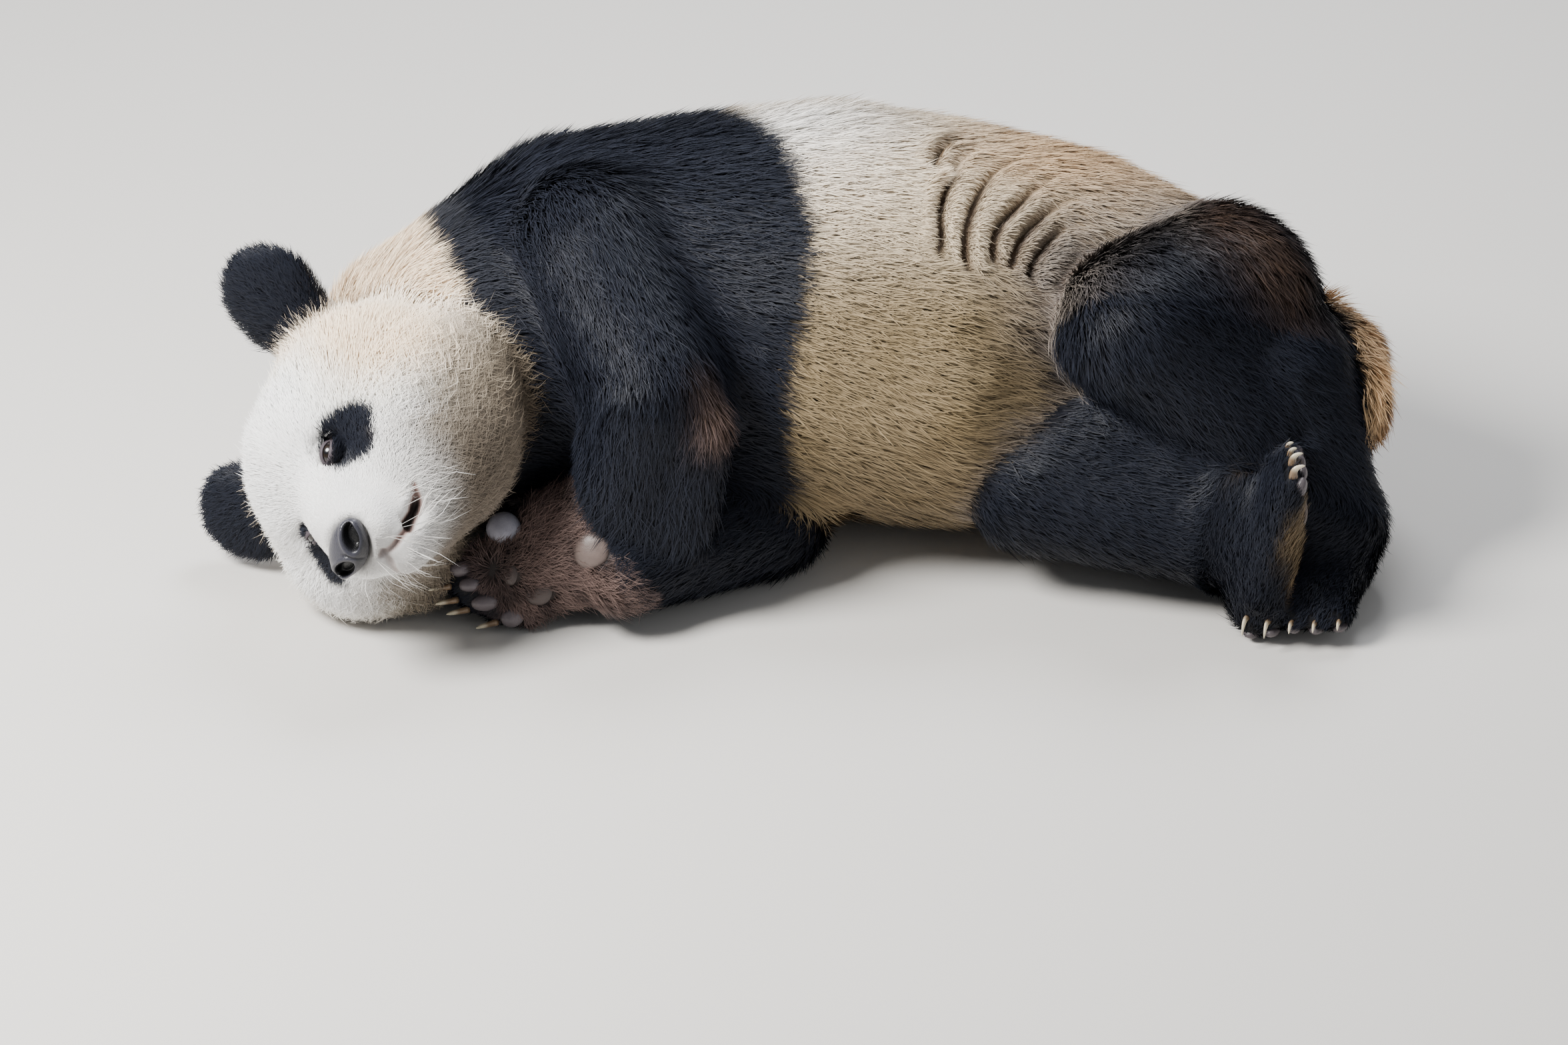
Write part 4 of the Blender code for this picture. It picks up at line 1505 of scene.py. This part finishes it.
# %% The whiskers
WHISKERS = 90
WHISKER_HAIR = (0.042, 0.0007, 0.0, 40.0, 0.12)
WHISKER_ROOT = (0.62, 0.60, 0.57)
WHISKER_TIP = (0.92, 0.90, 0.86)


def grow_whiskers(roots):
    """Turns a few locks round the mouth into long, fine, pale whiskers."""
    rng = np.random.default_rng(19)
    face = to_face(roots["points"])
    away = np.minimum(nearest_on(mouth_line(1), face)[0], nearest_on(mouth_line(-1), face)[0])
    fit = np.flatnonzero((away > 0.006) & (away < 0.026) & (roots["hair"][:, 0] < 0.03))
    picked = rng.choice(fit, WHISKERS, replace=False)
    roots["hair"][picked] = WHISKER_HAIR
    roots["root"][picked] = WHISKER_ROOT
    roots["tip"][picked] = WHISKER_TIP


grow_whiskers(ROOTS)
print("whiskers:", WHISKERS)

# %% The lines of the locks
CLUMP_SHARE = 0.045
FLOOR_GAP = 0.0006
ROOT_SUNK = 0.0012
WAVE_TURNS = 0.8
WAVE_SIZE = 0.3
STATION_WIDTHS = {2: (0.85, 0.9), 3: (0.8, 1.0, 0.72)}


def clump_pull(points, lengths, rng):
    """A step from each root towards the middle of its clump, along the skin."""
    chosen = rng.random(len(points)) < CLUMP_SHARE
    middles = points[chosen]
    tree = KDTree(len(middles))
    for number, middle in enumerate(middles):
        tree.insert(middle, number)
    tree.balance()
    nearest = middles[[tree.find(p)[1] for p in points]]
    step = nearest - points
    size = np.linalg.norm(step, axis=1, keepdims=True)
    return step * np.minimum(1.0, 0.4 * lengths[:, None] / (size + 1e-9))


def lock_lines(roots, sections, rng):
    """The middle line of every lock, its side direction and its half width at each station."""
    count = len(roots["points"])
    normals = unit(roots["normals"])
    lie = unit(along_skin(roots["lie"], normals))
    side = np.cross(normals, lie)
    turn = rng.normal(0.0, 0.20, count)[:, None]
    lie, side = lie * np.cos(turn) + side * np.sin(turn), side * np.cos(turn) - lie * np.sin(turn)
    length, width, _, rise, wave = roots["hair"].T
    longer = ramp(length, 0.010, 0.030)
    length = length * rng.uniform(0.72, 1.22, count) * np.where(rng.random(count) < 0.02, 1.3, 1.0)
    width = width * rng.uniform(0.7, 1.3, count)
    start = np.radians(rise * rng.uniform(0.75, 1.3, count))
    end = np.radians(rise * rng.uniform(-0.1, 0.45, count))
    phase = rng.uniform(0, 2 * math.pi, count)
    pull = clump_pull(roots["points"], length, rng) * (0.12 + 0.45 * longer + 0.5 * wave)[:, None]
    line = [roots["points"] - normals * ROOT_SUNK]
    swing = [np.sin(phase) * wave * length * WAVE_SIZE]
    for station in range(sections):
        share = (station + 0.5) / sections
        rising = start + (end - start) * share
        step = lie * np.cos(rising)[:, None] + normals * np.sin(rising)[:, None]
        line.append(line[-1] + step * (length / sections)[:, None])
        angle = phase + 2 * math.pi * WAVE_TURNS * (station + 1) / sections
        swing.append(np.sin(angle) * wave * length * WAVE_SIZE)
    for station in range(sections + 1):
        share = station / sections
        offset = side * (swing[station] - swing[0])[:, None] + pull * share ** 1.6
        line[station] = line[station] + offset
    roll = rng.normal(0.0, 0.22, count)[:, None]
    flat = side * np.cos(roll) + normals * np.sin(roll)
    return line, flat, [width * share / 2 for share in STATION_WIDTHS[sections]]


print("clumps:", int(len(ROOTS["points"]) * CLUMP_SHARE))


# %% The strips
PATCH_SIDE = 0.003


def lock_arrays(roots, sections, rng):
    """The points, colours and normals of the strips: two at each station and one at the tip."""
    line, flat, halves = lock_lines(roots, sections, rng)
    count = len(flat)
    rows = []
    for station, half in enumerate(halves):
        rows += [line[station] - flat * half[:, None], line[station] + flat * half[:, None]]
    rows.append(line[sections])
    points = np.stack(rows, axis=1)
    points[:, :, 2] = np.maximum(points[:, :, 2], FLOOR_GAP)
    spread = 0.04 + 0.08 * ramp(roots["hair"][:, 0], 0.010, 0.030)
    tone = (1.0 + rng.uniform(-1.0, 1.0, count) * spread)[:, None]
    colours = []
    for station in range(sections + 1):
        share = (station / sections) ** 1.5
        one = (roots["root"] * (1 - share) + roots["tip"] * share) * tone
        colours += [one] if station == sections else [one, one]
    return points, np.stack(colours, axis=1), soft_normals(roots, line, flat, sections)


def soft_normals(roots, line, flat, sections):
    """Normals between the lock's own and the skin's, turned out at both edges of the strip."""
    under = unit(roots["normals"])
    rows = []
    for station in range(sections + 1):
        way = line[min(station + 1, sections)] - line[max(station - 1, 0)]
        own = unit(np.cross(way, flat))
        own *= np.sign((own * under).sum(axis=1))[:, None]
        middle = 0.40 * own + 0.60 * under
        rows += [middle] if station == sections else [middle - 0.30 * flat, middle + 0.30 * flat]
    return unit(np.stack(rows, axis=1))


def lock_patch(places, sections):
    """The place of each lock on the unwrap: a small patch at its root."""
    rows = []
    for station in range(sections + 1):
        up = (station / sections - 0.5) * PATCH_SIDE
        for end in (0.0,) if station == sections else (-0.5, 0.5):
            rows.append(places + (end * PATCH_SIDE, up))
    return np.clip(np.stack(rows, axis=1), 0.0, 1.0)


def strip_faces(count, sections):
    """Corners and first corners of the faces of this many strips: quads, and a triangle at the tip."""
    quads = [(2 * s, 2 * s + 2, 2 * s + 3, 2 * s + 1) for s in range(sections - 1)]
    last = (2 * sections - 2, 2 * sections, 2 * sections - 1)
    one = np.array([corner for face in (*quads, last) for corner in face])
    firsts = 4 * np.arange(sections)
    strips = np.arange(count)[:, None]
    corners = one + (2 * sections + 1) * strips
    return corners.ravel(), (firsts + len(one) * strips).ravel()


def lock_mesh(name, roots, sections, seed):
    """One mesh of many locks, with its colours and its patches on the unwrap."""
    rng = np.random.default_rng(seed)
    points, colours, normals = lock_arrays(roots, sections, rng)
    patches = lock_patch(roots["place"], sections)
    corners, starts = strip_faces(len(points), sections)
    mesh = bpy.data.meshes.new(name)
    mesh.vertices.add(points.shape[0] * points.shape[1])
    mesh.vertices.foreach_set("co", points.astype(np.float32).ravel())
    mesh.loops.add(len(corners))
    mesh.loops.foreach_set("vertex_index", corners.astype(np.int32))
    mesh.polygons.add(len(starts))
    mesh.polygons.foreach_set("loop_start", starts.astype(np.int32))
    mesh.polygons.foreach_set("use_smooth", np.ones(len(starts), bool))
    mesh.update(calc_edges=True)
    layer = mesh.uv_layers.new(name="OFBake")
    layer.uv.foreach_set("vector", patches.reshape(-1, 2)[corners].astype(np.float32).ravel())
    paint_points(mesh, colours.reshape(-1, 3))
    mesh.attributes.new("custom_normal", "FLOAT_VECTOR", "POINT")
    mesh.attributes["custom_normal"].data.foreach_set("vector", normals.astype(np.float32).ravel())
    return linked(name, mesh)


# %% Divide the coat into pieces
MOST_TRIANGLES = 190000
FACE_HAIR = 0.0135
CURLY_HAIR = 0.30


def coat_groups(roots):
    """The locks of each part of the body, as a name, a choice of roots and the sections of a lock."""
    names = np.array(FLESH)[roots["parts"]]
    kinds = np.array([kind_of(name) for name in names])
    head = kinds == "head"
    short = head & (roots["hair"][:, 0] < FACE_HAIR)
    curly = head & ~short & (roots["hair"][:, 4] > CURLY_HAIR)
    right = np.char.endswith(names, "_right")
    arm = np.isin(kinds, ("upper", "forearm", "forepaw"))
    leg = np.isin(kinds, ("thigh", "shank", "hind"))
    black = roots["black"] > 0.5
    yield "coat_face", short & ~black, 2
    yield "coat_head", head & ~short & ~curly & ~black, 2
    yield "coat_cheek", curly & ~black, 3
    yield "coat_dark_patches", head & black, 2
    yield "coat_dark_ears", kinds == "ear", 2
    yield "coat_neck", kinds == "neck", 2
    yield "coat_trunk", (kinds == "trunk") & ~black, 2
    yield "coat_dark_trunk", (kinds == "trunk") & black, 2
    yield "coat_tail", kinds == "tail", 3
    yield "coat_dark_arm_right", arm & right, 2
    yield "coat_dark_arm_left", arm & ~right, 2
    yield "coat_dark_leg_right", leg & right, 2
    yield "coat_dark_leg_left", leg & ~right, 2


def grow_coat(roots):
    coat = []
    for number, (name, chosen, sections) in enumerate(coat_groups(roots)):
        picked = np.flatnonzero(chosen)
        picked = picked[np.argsort(roots["points"][picked, 0], kind="stable")]
        triangles = len(picked) * (2 * sections - 1)
        shares = max(1, math.ceil(triangles / MOST_TRIANGLES))
        for share, one in enumerate(np.array_split(picked, shares)):
            full = name if shares == 1 else f"{name}_{share + 1}"
            own = {key: value[one] for key, value in roots.items()}
            coat.append(lock_mesh(full, own, sections, 100 * number + share))
        print(name, "locks:", len(picked), "triangles:", triangles)
    return coat


coat = grow_coat(ROOTS)
print("coat triangles:", sum(len(p.data.loops) - 2 * len(p.data.polygons) for p in coat))

# %% [markdown]
# ## Materials of coat and skin
# The colours are already painted on the points, so the material reads that attribute and adds what
# paint can't: a fine change of tone from hair to hair, and the way hair scatters light. Pale hair
# is soft and matt with a little sheen. Black hair is glossier and has hardly any sheen of its own:
# its cold sheen is painted into the tips.

# %% Effects that the materials share
def new_group(name, inputs, output, kind):
    group = bpy.data.node_groups.new(name, "ShaderNodeTree")
    for label, socket, value in inputs:
        group.interface.new_socket(label, in_out="INPUT", socket_type=socket).default_value = value
    group.interface.new_socket(output, in_out="OUTPUT", socket_type=kind)
    start = group.nodes.new("NodeGroupInput")
    end = group.nodes.new("NodeGroupOutput")
    return group, start, end


def make_tone_group():
    """Lightens and darkens a colour from spot to spot."""
    group, start, end = new_group("uneven tone", (
        ("Color", "NodeSocketColor", (1.0, 1.0, 1.0, 1.0)), ("Scale", "NodeSocketFloat", 400.0),
        ("Low", "NodeSocketFloat", 0.86), ("High", "NodeSocketFloat", 1.12)),
        "Color", "NodeSocketColor")
    place = group.nodes.new("ShaderNodeTexCoord")
    grain = group.nodes.new("ShaderNodeTexNoise")
    set_inputs(grain, {"Detail": 2.0})
    tone = group.nodes.new("ShaderNodeMapRange")
    scale = group.nodes.new("ShaderNodeVectorMath")
    scale.operation = "SCALE"
    links = group.links
    links.new(place.outputs["Object"], grain.inputs["Vector"])
    links.new(start.outputs["Scale"], grain.inputs["Scale"])
    links.new(grain.outputs["Fac"], tone.inputs["Value"])
    links.new(start.outputs["Low"], tone.inputs["To Min"])
    links.new(start.outputs["High"], tone.inputs["To Max"])
    links.new(start.outputs["Color"], scale.inputs[0])
    links.new(tone.outputs["Result"], scale.inputs["Scale"])
    links.new(scale.outputs["Vector"], end.inputs["Color"])
    return group


def make_pebble_group():
    """The height of fine cobbled leather."""
    group, start, end = new_group("pebbles", (("Scale", "NodeSocketFloat", 900.0),),
                                  "Height", "NodeSocketFloat")
    place = group.nodes.new("ShaderNodeTexCoord")
    cells = group.nodes.new("ShaderNodeTexVoronoi")
    cells.feature = "SMOOTH_F1"
    group.links.new(place.outputs["Object"], cells.inputs["Vector"])
    group.links.new(start.outputs["Scale"], cells.inputs["Scale"])
    group.links.new(cells.outputs["Distance"], end.inputs["Height"])
    return group


TONE_GROUP = make_tone_group()
PEBBLE_GROUP = make_pebble_group()


# %% Coat, skin and leather materials
def colour_from(material, source, tone):
    """Gives a shader its colour from this output, made uneven: size, darkest, lightest."""
    tree = material.node_tree
    uneven = tree.nodes.new("ShaderNodeGroup")
    uneven.node_tree = TONE_GROUP
    set_inputs(uneven, dict(zip(("Scale", "Low", "High"), tone)))
    tree.links.new(source, uneven.inputs["Color"])
    tree.links.new(uneven.outputs["Color"], tree.nodes["Principled BSDF"].inputs["Base Color"])


def stored(material, name):
    """A node that reads a value kept with the points of the mesh."""
    node = material.node_tree.nodes.new("ShaderNodeAttribute")
    node.attribute_name = name
    return node


def add_pebbles(material, scale, strength):
    tree = material.node_tree
    leather = tree.nodes.new("ShaderNodeGroup")
    leather.node_tree = PEBBLE_GROUP
    set_inputs(leather, {"Scale": scale})
    bump = tree.nodes.new("ShaderNodeBump")
    set_inputs(bump, {"Strength": strength, "Distance": 0.0006})
    tree.links.new(leather.outputs["Height"], bump.inputs["Height"])
    tree.links.new(bump.outputs["Normal"], tree.nodes["Principled BSDF"].inputs["Normal"])


def painted_material(name, roughness, specular, tone=(420.0, 0.86, 1.12), **more):
    """A material that takes its colour from the paint on the points."""
    values = {label.replace("_", " "): value for label, value in more.items()}
    material = new_material(name, {"Roughness": roughness, "Specular IOR Level": specular, **values})
    colour_from(material, stored(material, "coat").outputs["Color"], tone)
    return material


PALE_HAIR = painted_material("pale hair", 0.75, 0.20, Sheen_Weight=0.20, Sheen_Roughness=0.4,
                             Sheen_Tint=(1.0, 0.97, 0.92, 1.0))
DARK_HAIR = painted_material("black hair", 0.44, 0.10, Sheen_Weight=0.01, Sheen_Roughness=0.4,
                             Sheen_Tint=(0.70, 0.80, 1.0, 1.0))
HIDE = painted_material("hide", 0.62, 0.30)
NOSE_LEATHER = painted_material("nose leather", 0.34, 0.38, (300.0, 0.70, 1.35),
                                Coat_Weight=0.12, Coat_Roughness=0.22)
add_pebbles(NOSE_LEATHER, 850.0, 0.55)
PAD_LEATHER = painted_material("pad leather", 0.42, 0.38, (120.0, 0.75, 1.25))
add_pebbles(PAD_LEATHER, 900.0, 0.22)
CLAW_HORN = painted_material("claw horn", 0.34, 0.50, (500.0, 0.80, 1.20), Coat_Weight=0.25)
print("materials:", [each.name for each in bpy.data.materials])

# %% The eyes' material
GAZE_STOPS = (
    # distance from the line of sight: pupil, iris, its dark ring, the white round it
    (0.0, (0.001, 0.001, 0.002)), (0.19, (0.001, 0.001, 0.002)), (0.23, (0.010, 0.006, 0.004)),
    (0.42, (0.016, 0.010, 0.007)), (0.48, (0.003, 0.003, 0.003)), (0.66, (0.040, 0.032, 0.033)),
)


def make_eye_material():
    material = new_material("eye", {"Roughness": 0.25, "Specular IOR Level": 0.20,
                                    "Coat Weight": 0.6, "Coat Roughness": 0.03})
    tree = material.node_tree
    rings = tree.nodes.new("ShaderNodeValToRGB")
    stops = rings.color_ramp.elements
    for number, (place, colour) in enumerate(GAZE_STOPS):
        stop = stops[number] if number < 2 else stops.new(place)
        stop.position = place
        stop.color = (*colour, 1.0)
    tree.links.new(stored(material, "gaze").outputs["Fac"], rings.inputs["Fac"])
    colour_from(material, rings.outputs["Color"], (700.0, 0.6, 1.4))
    return material


EYE_WET = make_eye_material()
print("rings of the eye:", len(GAZE_STOPS))

# %% Colours of the bare skin
def bare_colour(points, colour):
    """The colour of the skin, with the lids' rims, the lips, and painted shade in the gape and along
    the mouth's line.
    """
    for eye in EYES.values():
        colour = mixed(colour, LID, ramp(eye_oval(points, eye, 0.0048), 1.15, 0.9))
    colour = mixed(colour, LIP, kept_values(skin.data, "lip"))
    return mixed(colour, GAPE_SHADE, kept_values(skin.data, "mouth_shade"))


def paint_skin():
    roots = TABLE["root"] * (0.82 - 0.27 * TABLE["black"])[:, None]
    paint_points(skin.data, bare_colour(TABLE["points"], roots))
    skin.data.materials.append(HIDE)
    skin.data.shade_smooth()


paint_skin()
for piece in coat:
    dark = piece.name.startswith("coat_dark")
    piece.data.materials.append(DARK_HAIR if dark else PALE_HAIR)
for piece, material in ((nose_pad, NOSE_LEATHER), (pads, PAD_LEATHER), (claws, CLAW_HORN),
                        (eyeballs[0], EYE_WET), (eyeballs[1], EYE_WET)):
    piece.data.materials.clear()
    piece.data.materials.append(material)
print("pieces of coat with a material:", len(coat))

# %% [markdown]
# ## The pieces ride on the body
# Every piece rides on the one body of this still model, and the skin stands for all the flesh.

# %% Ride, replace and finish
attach(skin, "root")
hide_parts(*FLESH)
for piece in coat:
    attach(piece, "root")
    dark = piece.name.startswith("coat_dark")
for piece, slot in ((nose_pad, "nose"), (pads, "pad"), (claws, "claw"), (eyeballs[0], "eye"),
                    (eyeballs[1], "eye")):
    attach(piece, "root")
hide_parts("nose")
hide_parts("eye_left")
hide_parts("eye_right")

for piece in (skin, nose_pad, pads, claws, *eyeballs):
    piece.data.update_tag()
bpy.context.view_layer.update()
